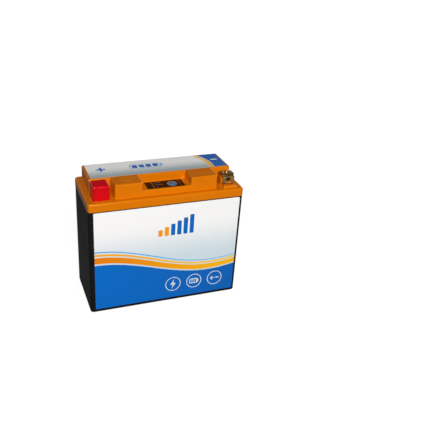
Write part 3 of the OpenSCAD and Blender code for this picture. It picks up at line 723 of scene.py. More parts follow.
# %% Lid marks and seats
MARK_LENGTH = 7.0 * MM
MARK_WIDTH = 1.6 * MM
MARK_ROUND = 0.12 * MM
MARK_CORNER = 0.5 * MM
BUSH_HOLE = 4.0 * MM
SEAT_EDGE = 0.5 * MM
SEAT_FILLET = 1.5 * MM
SEAT_REACH = 4.3 * MM
SEAT_LIP = 0.6 * MM
SEAT_LIP_GAP = 0.1 * MM
SEAT_LIP_OVERHANG = 0.4 * MM
SUNK = 0.02 * MM

mark_x = (RECESS_HALF + BLOCK_END) / 2
mark_y = (RIDGE_FRONT + plateau_front) / 2
mark_side = [(0.0, ridge_top - OVERLAP)] + roll_over(MARK_ROUND, lid_high.z)
for side in (-1, 1):
    minus_plan = bar_about(side * mark_x, mark_y, MARK_LENGTH, MARK_WIDTH, MARK_CORNER)
    carve(lid_shell, "UNION", prism("minus_bar", minus_plan, mark_side))
plus_plan = bar_about(-mark_x, mark_y, MARK_WIDTH, MARK_LENGTH, MARK_CORNER)
carve(lid_shell, "UNION", prism("plus_bar", plus_plan, mark_side))

terminal_low, terminal_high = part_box("negative_terminal")
terminal_middle = (terminal_low + terminal_high) / 2
terminal_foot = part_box("terminal_bushes")[1].z
seat_size = (terminal_high.x - terminal_low.x, terminal_high.y - terminal_low.y)
lip_corners = box_corners((terminal_low.x - SEAT_LIP_OVERHANG, terminal_low.y - SEAT_REACH),
                          (terminal_high.x + SEAT_LIP_OVERHANG, terminal_low.y - SEAT_LIP_GAP), SEAT_EDGE)
lip_side = [(SEAT_FILLET, deck_z - OVERLAP)] + sweep_up(SEAT_FILLET, deck_z - SUNK)
lip_side += roll_over(SEAT_EDGE, terminal_foot + SEAT_LIP)
carve(lid_shell, "UNION", prism("seat_lip", lip_corners, lip_side))
for side in (-1, 1):
    seat = bar_about(side * terminal_middle.x, terminal_middle.y, *seat_size, SEAT_EDGE)
    carve(lid_shell, "UNION", prism("terminal_seat", seat, straight(deck_z - OVERLAP, terminal_foot)))
    post_hole = [(BUSH_HOLE, deck_z - LID_WALL - OVERLAP), (BUSH_HOLE, terminal_foot + OVERLAP)]
    post_place = (side * terminal_middle.x, terminal_middle.y, 0)
    carve(lid_shell, "DIFFERENCE", turned("post_hole", post_hole, place=post_place))
print("terminal seats", in_mm(seat_size), "mm, at", in_mm(terminal_middle[:2]), "mm")

# %% Lid holes
PIPE_GAP = 0.05 * MM
BUTTON_GAP = 0.3 * MM
STEM_HOLE = 2.7 * MM
BUTTON_WELL = 1.8 * MM

pipes_low, pipes_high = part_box("light_pipes")
pipe_radius = (pipes_high.x - pipes_low.x) / 2
pipe_x = (pipes_low.x + pipes_high.x) / 2
pipe_rows = [pipes_low.y + pipe_radius, (pipes_low.y + pipes_high.y) / 2, pipes_high.y - pipe_radius]
button_low, button_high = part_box("test_button")
button_middle = (button_low + button_high) / 2
button_radius = (button_high.x - button_low.x) / 2

through = (recess_floor - RECESS_THICK - OVERLAP, recess_floor + OVERLAP)
for y in pipe_rows:
    pipe_hole = [(pipe_radius + PIPE_GAP, height) for height in through]
    carve(lid_shell, "DIFFERENCE", turned("pipe_hole", pipe_hole, place=(pipe_x, y, 0)))
well_radius = button_radius + BUTTON_GAP
well_floor = recess_floor - BUTTON_WELL
button_well = [(STEM_HOLE, through[0]), (STEM_HOLE, well_floor), (well_radius, well_floor),
               (well_radius, through[1])]
well_place = (button_middle.x, button_middle.y, 0)
carve(lid_shell, "DIFFERENCE", turned("button_well", button_well, place=well_place))
dress(lid_shell, lid_plastic)
settle(lid_shell, "battery", "lid_orange", "lid")

# %% [markdown]
# ## Terminal cap
#
# The red cap is dip moulded: a thick skin of soft vinyl grows on a hot former. So all its edges are fat and
# round, its walls lean in a little towards the top so that it comes off the former, and light goes a short
# way into it. A subdivided cube would round the edges too, but by no known radius. Rings give the radius,
# and the inside is a second stack in the same solid.

# %% Soft red vinyl and the cap
CAP_CORNER = 2.2 * MM
CAP_TOP_ROUND = 2.0 * MM
CAP_INNER_ROUND = 0.8 * MM
CAP_LIP_ROUND = 0.15 * MM
CAP_LEAN = 0.1 * MM
CAP_WALL = 1.1 * MM
CAP_ROOF = 1.3 * MM
CAP_INNER_CORNER = 0.7 * MM

# Glossy red that glows a little at its edges, with one soft highlight on each corner
cap_vinyl = surface("red_soft_vinyl_dipped", "#cc000e", 0.16,
                    (9.0, ("#ca000d", "#cf0010"), (0.14, 0.18)), (2.5, 0.006),
                    IOR=1.53, Specular_IOR_Level=0.5, Specular_Tint=linear("#ffa09a"),
                    Subsurface_Weight=0.1, Subsurface_Scale=0.0015)

cap_low, cap_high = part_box("terminal_cap")
cap_plan = box_corners(cap_low, cap_high, CAP_CORNER)
cap_side = roll_under(CAP_LIP_ROUND, cap_low.z)
cap_side += [(grow - CAP_LEAN, height) for grow, height in roll_over(CAP_TOP_ROUND, cap_high.z)]
cap_inside = box_corners((cap_low.x + CAP_WALL, cap_low.y + CAP_WALL),
                         (cap_high.x - CAP_WALL, cap_high.y - CAP_WALL), CAP_INNER_CORNER)
cap_roof = roll_over(CAP_INNER_ROUND, cap_high.z - CAP_ROOF)[::-1]
cap_hollow = [(grow - CAP_LEAN, height) for grow, height in cap_roof] + [(0.0, cap_low.z)]
cap_skin = solid("cap_skin", rings_of(cap_inside, cap_hollow) + rings_of(cap_plan, cap_side))
dress(cap_skin, cap_vinyl)
settle(cap_skin, "terminal_cap", "cap_red", "terminal_cap")

# %% [markdown]
# ## Terminals
#
# Each terminal is a strip of brass, plated with nickel, which lets a little of the brass's yellow through.
# The strip is then sheared and folded into a box that is open at its sides and slit at the top of its front,
# so its cut edges are drawn darker and rougher than its plated faces. An oblong nut, cut from brass bar, sits
# under the top plate with its collar staked in a hole, and a keeper in the lid's plastic holds the box's foot
# down. The inside of the box and the nut's front and back are a dark, dull plating: painted shade. Folded
# strip is an outline in itself: the strip's section, drawn once with its bend radii and pulled along X, with
# the sheared edges just broken.

# %% Plated, cut and turned metals
# Stamped strip under nickel: warm pale metal, with streaks along the strip that spread its shine
# Real streaks are too fine to show, so here they are half a millimetre wide
terminal_metal = surface("nickel_plated_brass_stamped", "#c6a970", 0.36,
                         (3.0, ("#bfa168", "#cdb27c"), (0.32, 0.42), 4.0), (0.5, 0.006, (1.0, 0.25, 0.25)),
                         Metallic=1.0)

# Sheared edges: darker and rougher than the plated faces, so they show as dark lines
cut_metal = surface("brass_sheared", "#574020", 0.5,
                    (1.0, ("#4a361a", "#644a28"), (0.45, 0.55), 4.0), (0.3, 0.01, (1.0, 1.0, 0.2)),
                    Metallic=1.0)

# Painted shade: a dark, dull plating for the inside of the box and the nut's front and back, where shade
# falls
painted_shade_metal = surface("nickel_plated_brass_painted_shade", "#5c4a2c", 0.6,
                     (2.0, ("#50401f", "#685434"), (0.54, 0.66), 4.0), Metallic=1.0)

# Turned brass: yellow, with small bright glints on its collar and its thread
nut_metal = surface("brass_turned", "#d2a048", 0.3,
                    (2.0, ("#c89640", "#dcac56"), (0.26, 0.34), 4.0), Metallic=1.0)

# Zinc plating: pale bluish grey, clouded
zinc_metal = surface("zinc_plated_steel", "#b9bcc0", 0.32,
                     (2.0, ("#a9adb3", "#c6c8ca"), (0.26, 0.40), 4.0), Metallic=1.0)
print("metals:", [metal.name for metal in (terminal_metal, cut_metal, painted_shade_metal, nut_metal, zinc_metal)])

# %% Strap's section
STRAP = 1.2 * MM
BEND = 1.7 * MM
INNER_BEND = 0.5 * MM
SHEARED_CORNER = 0.15 * MM
SLIT = 2.2 * MM

front, back = terminal_low.y, terminal_high.y
foot, top = terminal_foot, terminal_high.z
plate_under = top - STRAP
half_strap = (terminal_high.x - terminal_low.x) / 2
strap_section = [
    (front, foot, BEND), (back, foot, BEND), (back, top, BEND),
    (front + BEND, top, SHEARED_CORNER), (front + BEND, plate_under, SHEARED_CORNER),
    (back - STRAP, plate_under, INNER_BEND), (back - STRAP, foot + STRAP, INNER_BEND),
    (front + STRAP, foot + STRAP, INNER_BEND), (front + STRAP, top - SLIT, SHEARED_CORNER),
    (front, top - SLIT, SHEARED_CORNER),
]
print("strap's section has", len(outline(strap_section)), "points")

# %% Cut edges and inside of a strap
NEAR = 0.02 * MM


def is_cut(face):
    """Whether a face of a strap is one of the sheared ends or sides of the strip."""
    x, y, z = face.center
    on_side = abs(abs(abs(x) - terminal_middle.x) - half_strap) < NEAR
    on_top_end = abs(y - front - BEND) < NEAR and z > plate_under - NEAR
    on_front_end = abs(z - top + SLIT) < NEAR and y < front + STRAP + NEAR
    return on_side or on_top_end or on_front_end


def is_inside(face):
    """Whether a face of a strap looks into the box, where the dark plating paints in the shade."""
    _, y, z = face.center
    return front + STRAP - NEAR < y < back - STRAP + NEAR and foot + STRAP - NEAR < z < plate_under + NEAR


print("faces are told apart to", in_mm([NEAR]), "mm")

# %% Strap maker
SHEARED_EDGE = 0.2 * MM
COLLAR_HOLE = 3.35 * MM
COLLAR_HOLE_EDGE = 0.2 * MM
FRONT_HOLE = 2.65 * MM
FRONT_HOLE_EDGE = 0.45 * MM
FRONT_HOLE_HEIGHT = 4.3 * MM
POST = 3.0 * MM
POST_FOOT = 2.4 * MM
POST_SHOULDER = 8.8 * MM


def punched(radius, edge):
    """(radius, height) pairs of a punched hole with broken edges, through a strap from 0 up."""
    rim = radius + edge
    return [(rim, -OVERLAP), (rim, 0.0), (radius, edge), (radius, STRAP - edge), (rim, STRAP),
            (rim, STRAP + OVERLAP)]


def make_strap(name, side):
    """One terminal's folded strap with its post, at the left or right of the lid."""
    x = side * terminal_middle.x
    width = roll_under(SHEARED_EDGE, -half_strap) + roll_over(SHEARED_EDGE, half_strap)
    strap = prism(f"{name}_strap", strap_section, width, ALONG_X, (x, 0, 0))
    shoulder = deck_z - POST_SHOULDER
    post = [(POST_FOOT, terminal_low.z), (POST_FOOT, shoulder), (POST, shoulder), (POST, foot + STRAP / 2)]
    carve(strap, "UNION", turned("post", post, place=(x, terminal_middle.y, 0)))
    collar_place = (x, terminal_middle.y, plate_under)
    front_place = (x, front + STRAP, foot + FRONT_HOLE_HEIGHT)
    carve(strap, "DIFFERENCE",
          turned("collar_hole", punched(COLLAR_HOLE, COLLAR_HOLE_EDGE), place=collar_place),
          turned("front_hole", punched(FRONT_HOLE, FRONT_HOLE_EDGE), FROM_FRONT, front_place))
    dress(strap, terminal_metal, cut_metal, painted_shade_metal)
    for face in strap.data.polygons:
        # Sheared faces take the cut metal, and faces inside the box take the dark plating as painted shade
        face.material_index = 1 if is_cut(face) else 2 if is_inside(face) else 0
    settle(strap, "battery", "terminal_plated", f"{name}_terminal")


print("radii of the collar's hole and the front hole", in_mm((COLLAR_HOLE, FRONT_HOLE)), "mm")

# %% Thread
NUT_HEIGHT = 2.2 * MM
THREAD = 2.1 * MM
THREAD_PITCH = 0.8 * MM
THREAD_DEPTH = 0.3 * MM
RINGS_PER_PITCH = 6


def thread_cutter(x):
    """A tap's shape: a rod whose radius swings once per pitch up its helix."""
    low = plate_under - NUT_HEIGHT - OVERLAP
    high = top + OVERLAP
    levels = round((high - low) / THREAD_PITCH * RINGS_PER_PITCH)
    rings = []
    for level in range(levels + 1):
        height = low + (high - low) * level / levels
        ring = []
        for k in range(CIRCLE_SIDES):
            turn = k / CIRCLE_SIDES
            swing = abs(((height / THREAD_PITCH - turn) % 1.0) * 2 - 1)
            radius = THREAD + THREAD_DEPTH * swing
            ring.append((radius * math.cos(math.tau * turn), radius * math.sin(math.tau * turn), height))
        rings.append(ring)
    return solid("thread", rings, place=(x, terminal_middle.y, 0))


print("thread's pitch and depth", in_mm((THREAD_PITCH, THREAD_DEPTH)), "mm")

# %% Nut maker
COLLAR = 3.3 * MM
NUT_EDGE = 0.3 * MM
NUT_GAP = 0.02 * MM


def make_nut(name, side):
    """One terminal's oblong nut, rounded to fit the strap's bends, with its collar and its thread."""
    x = side * terminal_middle.x
    nut_low, nut_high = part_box(f"{name}_nut")
    nut_side = roll_under(NUT_EDGE / 2, plate_under - NUT_HEIGHT)
    nut_side += roll_over(INNER_BEND, plate_under - NUT_GAP)
    nut = prism(f"{name}_brass_nut", box_corners(nut_low, nut_high, INNER_BEND), nut_side)
    collar = [(COLLAR, plate_under - NUT_HEIGHT / 2)]
    collar += [(COLLAR + grow, height) for grow, height in roll_over(NUT_EDGE, top)]
    carve(nut, "UNION", turned("collar", collar, place=(x, terminal_middle.y, 0)))
    carve(nut, "DIFFERENCE", thread_cutter(x))
    dress(nut, nut_metal, painted_shade_metal)
    # The nut's front and back take the dark plating as painted shade
    for face in nut.data.polygons:
        painted_shade_side = min(abs(face.center.y - nut_low.y), abs(face.center.y - nut_high.y)) < NEAR
        face.material_index = 1 if painted_shade_side else 0
    settle(nut, "battery", "terminal_plated", f"{name}_nut")


print("nut's height and collar's radius", in_mm((NUT_HEIGHT, COLLAR)), "mm")

# %% Both terminals
SIDES = (("positive", -1), ("negative", 1))
for name, side in SIDES:
    make_strap(name, side)
    make_nut(name, side)

# %% Keepers
KEEPER_HEAD = 1.4 * MM
KEEPER_GAP = 0.1 * MM
KEEPER_REACH = 1.6 * MM
KEEPER_EDGE = 0.4 * MM
KEEPER_FILLET = 0.6 * MM
TOE_THICK = 0.5 * MM
TOE_DEPTH = 3.2 * MM

keepers_low, keepers_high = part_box("terminal_keepers")
head_far = terminal_low.x - KEEPER_GAP
head_near = head_far - KEEPER_HEAD
box_floor = foot + STRAP


def keeper_plan(side, near, far, depth):
    """A keeper's plan between two distances from the battery's middle, with its back at depth."""
    ends = sorted((side * near, side * far))
    return box_corners((ends[0], keepers_low.y), (ends[1], depth), KEEPER_EDGE)


for name, side in SIDES:
    stand = sweep_up(KEEPER_FILLET, deck_z) if side > 0 else [(0.0, deck_z)]
    head = keeper_plan(side, head_near, head_far, keepers_high.y)
    cheek = keeper_plan(side, head_far - KEEPER_HEAD / 2, terminal_low.x + KEEPER_REACH, keepers_high.y)
    toe = keeper_plan(side, terminal_low.x + KEEPER_REACH / 2, keepers_high.x, keepers_low.y + TOE_DEPTH)
    keeper = prism(f"{name}_keeper", head, stand + roll_over(KEEPER_EDGE, keepers_high.z))
    carve(keeper, "UNION",
          prism("cheek", cheek, straight(box_floor, keepers_high.z - KEEPER_EDGE)),
          prism("toe", toe, straight(box_floor, box_floor + TOE_THICK)))
    dress(keeper, lid_plastic)
    # One CAD node holds both keepers, so the first of them stands for it
    stands_for = ["terminal_keepers"] if side < 0 else []
    settle(keeper, "battery", "lid_orange", *stands_for)

# %% [markdown]
# ## Printed films
#
# The labels are vinyl films with a print under a clear laminate, and the test panel is a polyester one. A
# print could be an image, but this lesson draws it: each ink is an outline, laid over the ones before it,
# and a constrained triangulation cuts the film's face along all of them. Every patch of the face then takes
# the ink that was laid last, so the print has crisp edges at any distance and nothing floats above the film.

# %% Film maker
CDT_TOLERANCE = 1e-8


def counter_clockwise(loop):
    """The loop's points in the order that the triangulation needs."""
    area = sum(loop[i - 1][0] * loop[i][1] - loop[i][0] * loop[i - 1][1] for i in range(len(loop)))
    return list(loop) if area > 0 else list(loop)[::-1]


def printed_film(name, layers, thickness, axes, place):
    """A film cut to the first layer's outline and printed with the later ones. An ink of None is a hole."""
    points = []
    loops = []
    for _, loop in layers:
        loops.append(list(range(len(points), len(points) + len(loop))))
        points.extend(Vector(point[:2]) for point in counter_clockwise(loop))
    spots, _, patches, _, _, covers = delaunay_2d_cdt(points, [], loops, 1, CDT_TOLERANCE)
    inks = []
    for ink, _ in layers:
        if ink is not None and ink not in inks:
            inks.append(ink)
    shape = bmesh.new()
    face_side = [shape.verts.new(axes @ Vector((*spot, thickness)) + Vector(place)) for spot in spots]
    back_side = [shape.verts.new(axes @ Vector((*spot, 0)) + Vector(place)) for spot in spots]
    printed = [(patch, layers[max(cover)][0]) for patch, cover in zip(patches, covers) if 0 in cover]
    printed = [(patch, ink) for patch, ink in printed if ink is not None]
    edges = set()
    for patch, ink in printed:
        shape.faces.new([face_side[i] for i in patch]).material_index = inks.index(ink)
        shape.faces.new([back_side[i] for i in patch[::-1]])
        edges.update(zip(patch, patch[1:] + patch[:1]))
    for a, b in edges:
        if (b, a) not in edges:
            shape.faces.new((face_side[a], back_side[a], back_side[b], face_side[b]))
    bmesh.ops.delete(shape, geom=[spot for spot in shape.verts if not spot.link_faces], context="VERTS")
    film = new_piece(name, shape)
    for ink in inks:
        film.data.materials.append(ink)
    return film


print("points of a print closer than", CDT_TOLERANCE / MM, "mm become one")

# %% Print motifs
CURVE_SAMPLES = 64
BAR_ROUNDING = 0.2


def disc(x, y, radius, sides=CIRCLE_SIDES):
    """Points of a printed disc."""
    return [(x + dx, y + dy) for dx, dy in circle(radius, sides)]


def slab(length, width, corner):
    """Points of a whole film with rounded corners."""
    return outline(box_corners((0, 0), (length, width), corner))


def ribbon(lower, upper, length):
    """Points between two curves that run the film's length."""
    stations = [length * k / CURVE_SAMPLES for k in range(CURVE_SAMPLES + 1)]
    return [(x, lower(x)) for x in stations] + [(x, upper(x)) for x in stations[::-1]]


def bar_mark(x, y, width, height, ink):
    """An inked bar about a point."""
    return ink, outline(bar_about(x, y, width, height, min(width, height) * BAR_ROUNDING))


def symbol(x, y, bars):
    """Inked bars about a symbol's middle, each from its offset along X, width and height in mm, and ink."""
    return [bar_mark(x + offset * MM, y, width * MM, height * MM, ink) for offset, width, height, ink in bars]


print("a curve has", CURVE_SAMPLES, "stretches")

# %% [markdown]
# ### Inks
#
# White vinyl under a laminate is smooth but not a mirror: it lies in slow waves, a few millimetres long. Each
# ink could be a mask in one large material, but a material for each keeps the nodes few. All of them are the
# same film with their own colours, so they share one finish. The front's white fades to a pale blue grey
# towards the colour fields, the top's to a darker grey towards the front edge, and the orange runs to yellow.

# %% Printed vinyl
FILM_ROUGHNESS = 0.36
FILM_IOR = 1.50
FILM_SPECULAR = 0.3
FILM_WAVE_MM = 4.0
FILM_WAVE_DEPTH_MM = 0.01


def film_ink(name, colour, fade_to, axis, start_mm, end_mm):
    """A laminated ink that fades to a second colour along an axis of the battery."""
    ink, tree, shader = new_material(name, colour, FILM_ROUGHNESS, IOR=FILM_IOR,
                                     Specular_IOR_Level=FILM_SPECULAR)
    place = add(tree, "TexCoord").outputs["Object"]
    along = add(tree, "SeparateXYZ", {"Vector": place}).outputs[axis]
    share = add(tree, "MapRange", {"Value": along, "From Min": start_mm * MM, "From Max": end_mm * MM},
                interpolation_type="SMOOTHSTEP")
    fade = add(tree, "Mix", {0: share.outputs["Result"], MIX_A: linear(colour), MIX_B: linear(fade_to)},
               data_type="RGBA")
    tree.links.new(fade.outputs[MIX_RESULT], shader.inputs["Base Color"])
    grain(tree, shader, FILM_WAVE_MM, FILM_WAVE_DEPTH_MM)
    return ink


# White vinyl: clean and even, with a cool shade that gives the flat film some depth
front_white = film_ink("white_vinyl_laminated", "#f4f3f1", "#cbdae1", "Z", 90.0, 46.0)
top_white = film_ink("white_vinyl_laminated_top", "#f6f5f2", "#9cabb0", "Y", 14.0, -9.0)
# Inks under the laminate: full flat colours with the film's soft sheen, a little different at each end
blue_ink = film_ink("blue_ink_laminated", "#0067c0", "#0a5fb4", "X", -70.0, 70.0)
sky_ink = film_ink("light_blue_ink_laminated", "#2f9ae0", "#5ab2ea", "X", -70.0, 70.0)
orange_ink = film_ink("orange_ink_laminated", "#e87f04", "#f6b40a", "X", -70.0, 70.0)
amber_ink = film_ink("amber_ink_laminated", "#f3a712", "#f8c63a", "X", -70.0, 70.0)
print("inks:", [ink.name for ink in (front_white, top_white, blue_ink, sky_ink, orange_ink, amber_ink)])

# %% [markdown]
# ### Front label
#
# A plain battery label: white above, a blue field below that ends in one long wave, and stripes in orange,
# amber and light blue that follow the wave. Round pictograms of a bolt, a charge gauge and the two poles
# stand on the blue, and a rising row of charge bars on the white. There is no lettering on it.

# %% Front label's fields and stripes
LABEL_CORNER = 1.2 * MM
WAVE_MIDDLE = 38.0 * MM
WAVE_SWING = 11.0 * MM
WAVE_TURN = 1.25 * math.pi
BLUE_FOOT = -5.0 * MM
# Each stripe's ink, then the rise and the taper of its lower edge and of its upper edge, in mm
STRIPES = [
    (sky_ink, (13.4, 3.0), (14.6, 3.4)),
    (amber_ink, (9.6, 2.4), (11.8, 2.8)),
    (orange_ink, (1.6, 0.4), (8.2, 2.0)),
]

front_low, front_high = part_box("front_label")
front_length = front_high.x - front_low.x
front_height = front_high.z - front_low.z


def wave(rise_mm, taper_mm):
    """The label's wave, raised, and raised less towards the right by the taper."""
    def height(x):
        share = x / front_length
        return WAVE_MIDDLE + WAVE_SWING * math.cos(WAVE_TURN * share) + (rise_mm - taper_mm * share) * MM
    return height


front_layers = [(front_white, slab(front_length, front_height, LABEL_CORNER))]
for ink, lower, upper in STRIPES:
    front_layers.append((ink, ribbon(wave(*lower), wave(*upper), front_length)))
front_layers.append((blue_ink, ribbon(lambda x: BLUE_FOOT, wave(0.0, 0.0), front_length)))
print("front film", in_mm((front_length, front_height)), "mm")

# %% Front label's pictograms and charge bars
PICTOGRAM_RADIUS = 8.0 * MM
PICTOGRAM_LINE = 0.8 * MM
PICTOGRAM_HEIGHT = 15.5 * MM
PICTOGRAMS_FROM_RIGHT_MM = (64.0, 42.0, 20.0)
BOLT_SIZE = 8.4 * MM
BOLT = [(0.10, 0.62), (-0.36, -0.08), (-0.06, -0.08), (-0.14, -0.62), (0.36, 0.12), (0.06, 0.12)]
GAUGE = [(-0.5, 9.0, 5.6, front_white), (4.5, 1.0, 2.4, front_white)]
GAUGE += [(2.4 * k - 3.2, 1.6, 3.8, blue_ink) for k in range(3)]
POLES = [(-2.8, 4.2, 1.2, front_white), (-2.8, 1.2, 4.2, front_white), (2.8, 4.2, 1.2, front_white)]
CHARGE_BARS = 6
LOW_CHARGE_BARS = 2
CHARGE_LEFT_MM = 63.0
CHARGE_STEP_MM = 6.2
CHARGE_WIDTH = 4.2 * MM
CHARGE_FOOT = 71.0 * MM
SHORTEST_CHARGE_MM = 7.0
CHARGE_RISE_MM = 2.6

bolt_x, gauge_x, poles_x = [front_length - distance * MM for distance in PICTOGRAMS_FROM_RIGHT_MM]
for x in (bolt_x, gauge_x, poles_x):
    front_layers.append((front_white, disc(x, PICTOGRAM_HEIGHT, PICTOGRAM_RADIUS)))
    front_layers.append((blue_ink, disc(x, PICTOGRAM_HEIGHT, PICTOGRAM_RADIUS - PICTOGRAM_LINE)))
bolt = [(bolt_x + x * BOLT_SIZE, PICTOGRAM_HEIGHT + y * BOLT_SIZE) for x, y in BOLT]
front_layers.append((front_white, bolt))
front_layers += symbol(gauge_x, PICTOGRAM_HEIGHT, GAUGE)
front_layers += symbol(poles_x, PICTOGRAM_HEIGHT, POLES)
for k in range(CHARGE_BARS):
    height = (SHORTEST_CHARGE_MM + CHARGE_RISE_MM * k) * MM
    x = (CHARGE_LEFT_MM + CHARGE_STEP_MM * k) * MM
    ink = orange_ink if k < LOW_CHARGE_BARS else blue_ink
    front_layers.append(bar_mark(x, CHARGE_FOOT + height / 2, CHARGE_WIDTH, height, ink))
front_film = printed_film("front_film", front_layers, front_high.y - front_low.y, FROM_FRONT,
                          (front_low.x, front_high.y, front_low.z))
settle(front_film, "battery", "printed_film", "front_label")

# %% [markdown]
# ### Top label
#
# The ridge's film is white too, with a blue end behind two bowed stripes, a plus and a minus at the ends
# where those poles are, and a charge gauge between them.

# %% Top label
STRIPE_LEAN = -7.0 * MM
STRIPE_BOW = 3.0 * MM
STRIPE_SAMPLES = 16
# Each stripe's ink, and where it starts and ends along the film's front edge, in mm
TOP_STRIPES = [(blue_ink, 121.0, 150.0), (orange_ink, 117.4, 120.0), (amber_ink, 115.4, 116.5)]
PLUS = [(0.0, 9.0, 2.2, blue_ink), (0.0, 2.2, 9.0, blue_ink)]
MINUS = [(0.0, 7.0, 2.0, top_white)]
TOP_GAUGE = [(0.0, 30.0, 11.0, sky_ink), (0.0, 28.4, 9.4, top_white), (16.4, 2.0, 5.0, sky_ink)]
TOP_GAUGE += [(6.8 * k - 10.2, 5.2, 6.6, blue_ink) for k in range(4)]
PLUS_X = 13.0 * MM
TOP_GAUGE_X = 56.0 * MM
MINUS_FROM_RIGHT = 7.0 * MM
# How far back the symbols stand, as a share of the film's width
SYMBOL_ROW = 0.55

top_length = label_high.x - label_low.x
top_width = label_high.y - label_low.y


def slanted(ink, start_mm, end_mm):
    """A leaning, bowed stripe across the film, from its front edge to its back edge."""
    rows = [k / STRIPE_SAMPLES for k in range(STRIPE_SAMPLES + 1)]
    bend = [(STRIPE_LEAN * row + STRIPE_BOW * math.sin(math.pi * row), top_width * row) for row in rows]
    left = [(start_mm * MM + x, y) for x, y in bend]
    right = [(end_mm * MM + x, y) for x, y in bend]
    return ink, left + right[::-1]


symbol_y = top_width * SYMBOL_ROW
top_layers = [(top_white, slab(top_length, top_width, LABEL_CORNER))]
top_layers += [slanted(*stripe) for stripe in TOP_STRIPES]
top_layers += symbol(PLUS_X, symbol_y, PLUS)
top_layers += symbol(top_length - MINUS_FROM_RIGHT, symbol_y, MINUS)
top_layers += symbol(TOP_GAUGE_X, symbol_y, TOP_GAUGE)
top_film = printed_film("top_film", top_layers, label_high.z - label_low.z, UPRIGHT, label_low)
settle(top_film, "battery", "printed_film", "top_label")

# %% [markdown]
# ## Test panel, lamps and button
#
# The panel is a black polyester film in the recess. Three amber light pipes come up through it at the left,
# each beside a printed level of one, two or three grey bars. They step down under the film, so only their
# narrow tips show. Short amber bars stand at the film's right end and in its middle. The round button has a
# blue face with a dark battery symbol, inside a pale ring. Its dish and its rim are turned, and its face
# takes a film of its own.

# %% Panel, lamp and button materials
# Polyester film: nearly black, with a satin that takes up the orange around it
panel_black = surface("black_polyester_film", "#120806", 0.38,
                      (6.0, ("#100705", "#150a08"), (0.35, 0.42)), IOR=1.57, Specular_IOR_Level=0.12)

# Thin inks on black: muted, because the black shows through them
panel_amber = film_ink("amber_panel_ink", "#8a5c18", "#96671f", "Y", -24.0, -10.0)
panel_grey = film_ink("grey_panel_ink", "#66646a", "#727076", "Y", -24.0, -10.0)

# The button's inks are painted with shading: bluer at the front and greyer at the back, as light falls on a
# dome, while the print is flat
button_white = film_ink("pale_grey_button_ink", "#5f7d96", "#d0c0c4", "Y", -22.0, -15.0)
button_sky = film_ink("pale_blue_button_ink", "#3f98d0", "#46607c", "Y", -22.0, -15.0)
button_navy = film_ink("dark_blue_button_ink", "#2a4a6c", "#33445c", "Y", -22.0, -15.0)

# Moulded ABS: a blue grey rim with a softer shine than the lid's
button_plastic = surface("blue_abs_moulded", "#5a626c", 0.28,
                         (3.0, ("#565e68", "#5f6771"), (0.24, 0.34)), IOR=1.53)

# Tinted acrylic: small amber dots that look deeper than paint
pipe_acrylic = surface("amber_acrylic_moulded", "#e8811a", 0.15,
                       (1.0, ("#e07812", "#f09028"), (0.12, 0.20)), IOR=1.49, Transmission_Weight=0.15)
print("panel materials:", panel_black.name, button_plastic.name, pipe_acrylic.name)

# %% Panel
PANEL_CORNER = 0.6 * MM
PIPE_HOLE = 0.7 * MM
PIPE_HOLE_SIDES = 24
# The level bars beside each pipe: the first one's offset, the step to the next, and their size, in mm
LEVEL_FIRST_MM = 3.4
LEVEL_STEP_MM = 2.2
LEVEL_BAR_MM = (1.5, 1.3)
END_BAR = [(0.0, 2.6, 0.9, panel_amber)]
END_BAR_FROM_RIGHT = 3.4 * MM
MIDDLE_BAR = [(0.0, 4.0, 1.2, panel_amber)]
MIDDLE_BAR_SHIFT = 3.5 * MM

panel_low, panel_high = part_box("test_panel")
panel_size = panel_high - panel_low
button_place = (button_middle.x - panel_low.x, button_middle.y - panel_low.y)
panel_layers = [(panel_black, slab(panel_size.x, panel_size.y, PANEL_CORNER))]
for level, row in enumerate(pipe_rows, start=1):
    x = pipe_x - panel_low.x
    y = row - panel_low.y
    offsets = [LEVEL_FIRST_MM + LEVEL_STEP_MM * k for k in range(level)]
    panel_layers += symbol(x, y, [(offset, *LEVEL_BAR_MM, panel_grey) for offset in offsets])
    panel_layers.append((None, disc(x, y, PIPE_HOLE, PIPE_HOLE_SIDES)))
    panel_layers += symbol(panel_size.x - END_BAR_FROM_RIGHT, y, END_BAR)
panel_layers += symbol(panel_size.x / 2 - MIDDLE_BAR_SHIFT, button_place[1], MIDDLE_BAR)
panel_layers.append((None, disc(*button_place, well_radius)))
panel_film = printed_film("panel_film", panel_layers, panel_size.z, UPRIGHT, panel_low)
settle(panel_film, "battery", "panel_black", "test_panel")

# %% Light pipes
PIPE_TIP = 0.65 * MM
PIPE_DOME = 0.3 * MM
# A dome ends in a small flat, so that its faces don't meet in a point
DOME_FLAT = 0.05

pipe_step = recess_floor - SUNK
pipe_profile = [(pipe_radius, pipes_low.z), (pipe_radius, pipe_step), (PIPE_TIP, pipe_step)]
pipe_profile += [(PIPE_TIP * max(c, DOME_FLAT), pipes_high.z + PIPE_DOME * s) for s, c in quarter()]
light_pipes = turned("amber_light_pipes", pipe_profile, place=(pipe_x, pipe_rows[0], 0))
for y in pipe_rows[1:]:
    carve(light_pipes, "UNION", turned("light_pipe", pipe_profile, place=(pipe_x, y, 0)))
dress(light_pipes, pipe_acrylic)
settle(light_pipes, "battery", "amber_plastic", "light_pipes")

# %% Button
RIM_WIDTH = 0.8 * MM
DISH = 0.25 * MM
BUTTON_CROWN = 0.4 * MM
BUTTON_LIFT = 0.8 * MM
STEM = 2.4 * MM
FACE_FILM = 0.1 * MM
PALE_RING = 0.5 * MM
FACE_GAUGE = [(-0.2, 4.8, 3.0, button_navy), (2.6, 0.8, 1.4, button_navy), (-0.2, 3.8, 2.0, button_sky),
              (-1.3, 1.2, 1.5, button_navy)]

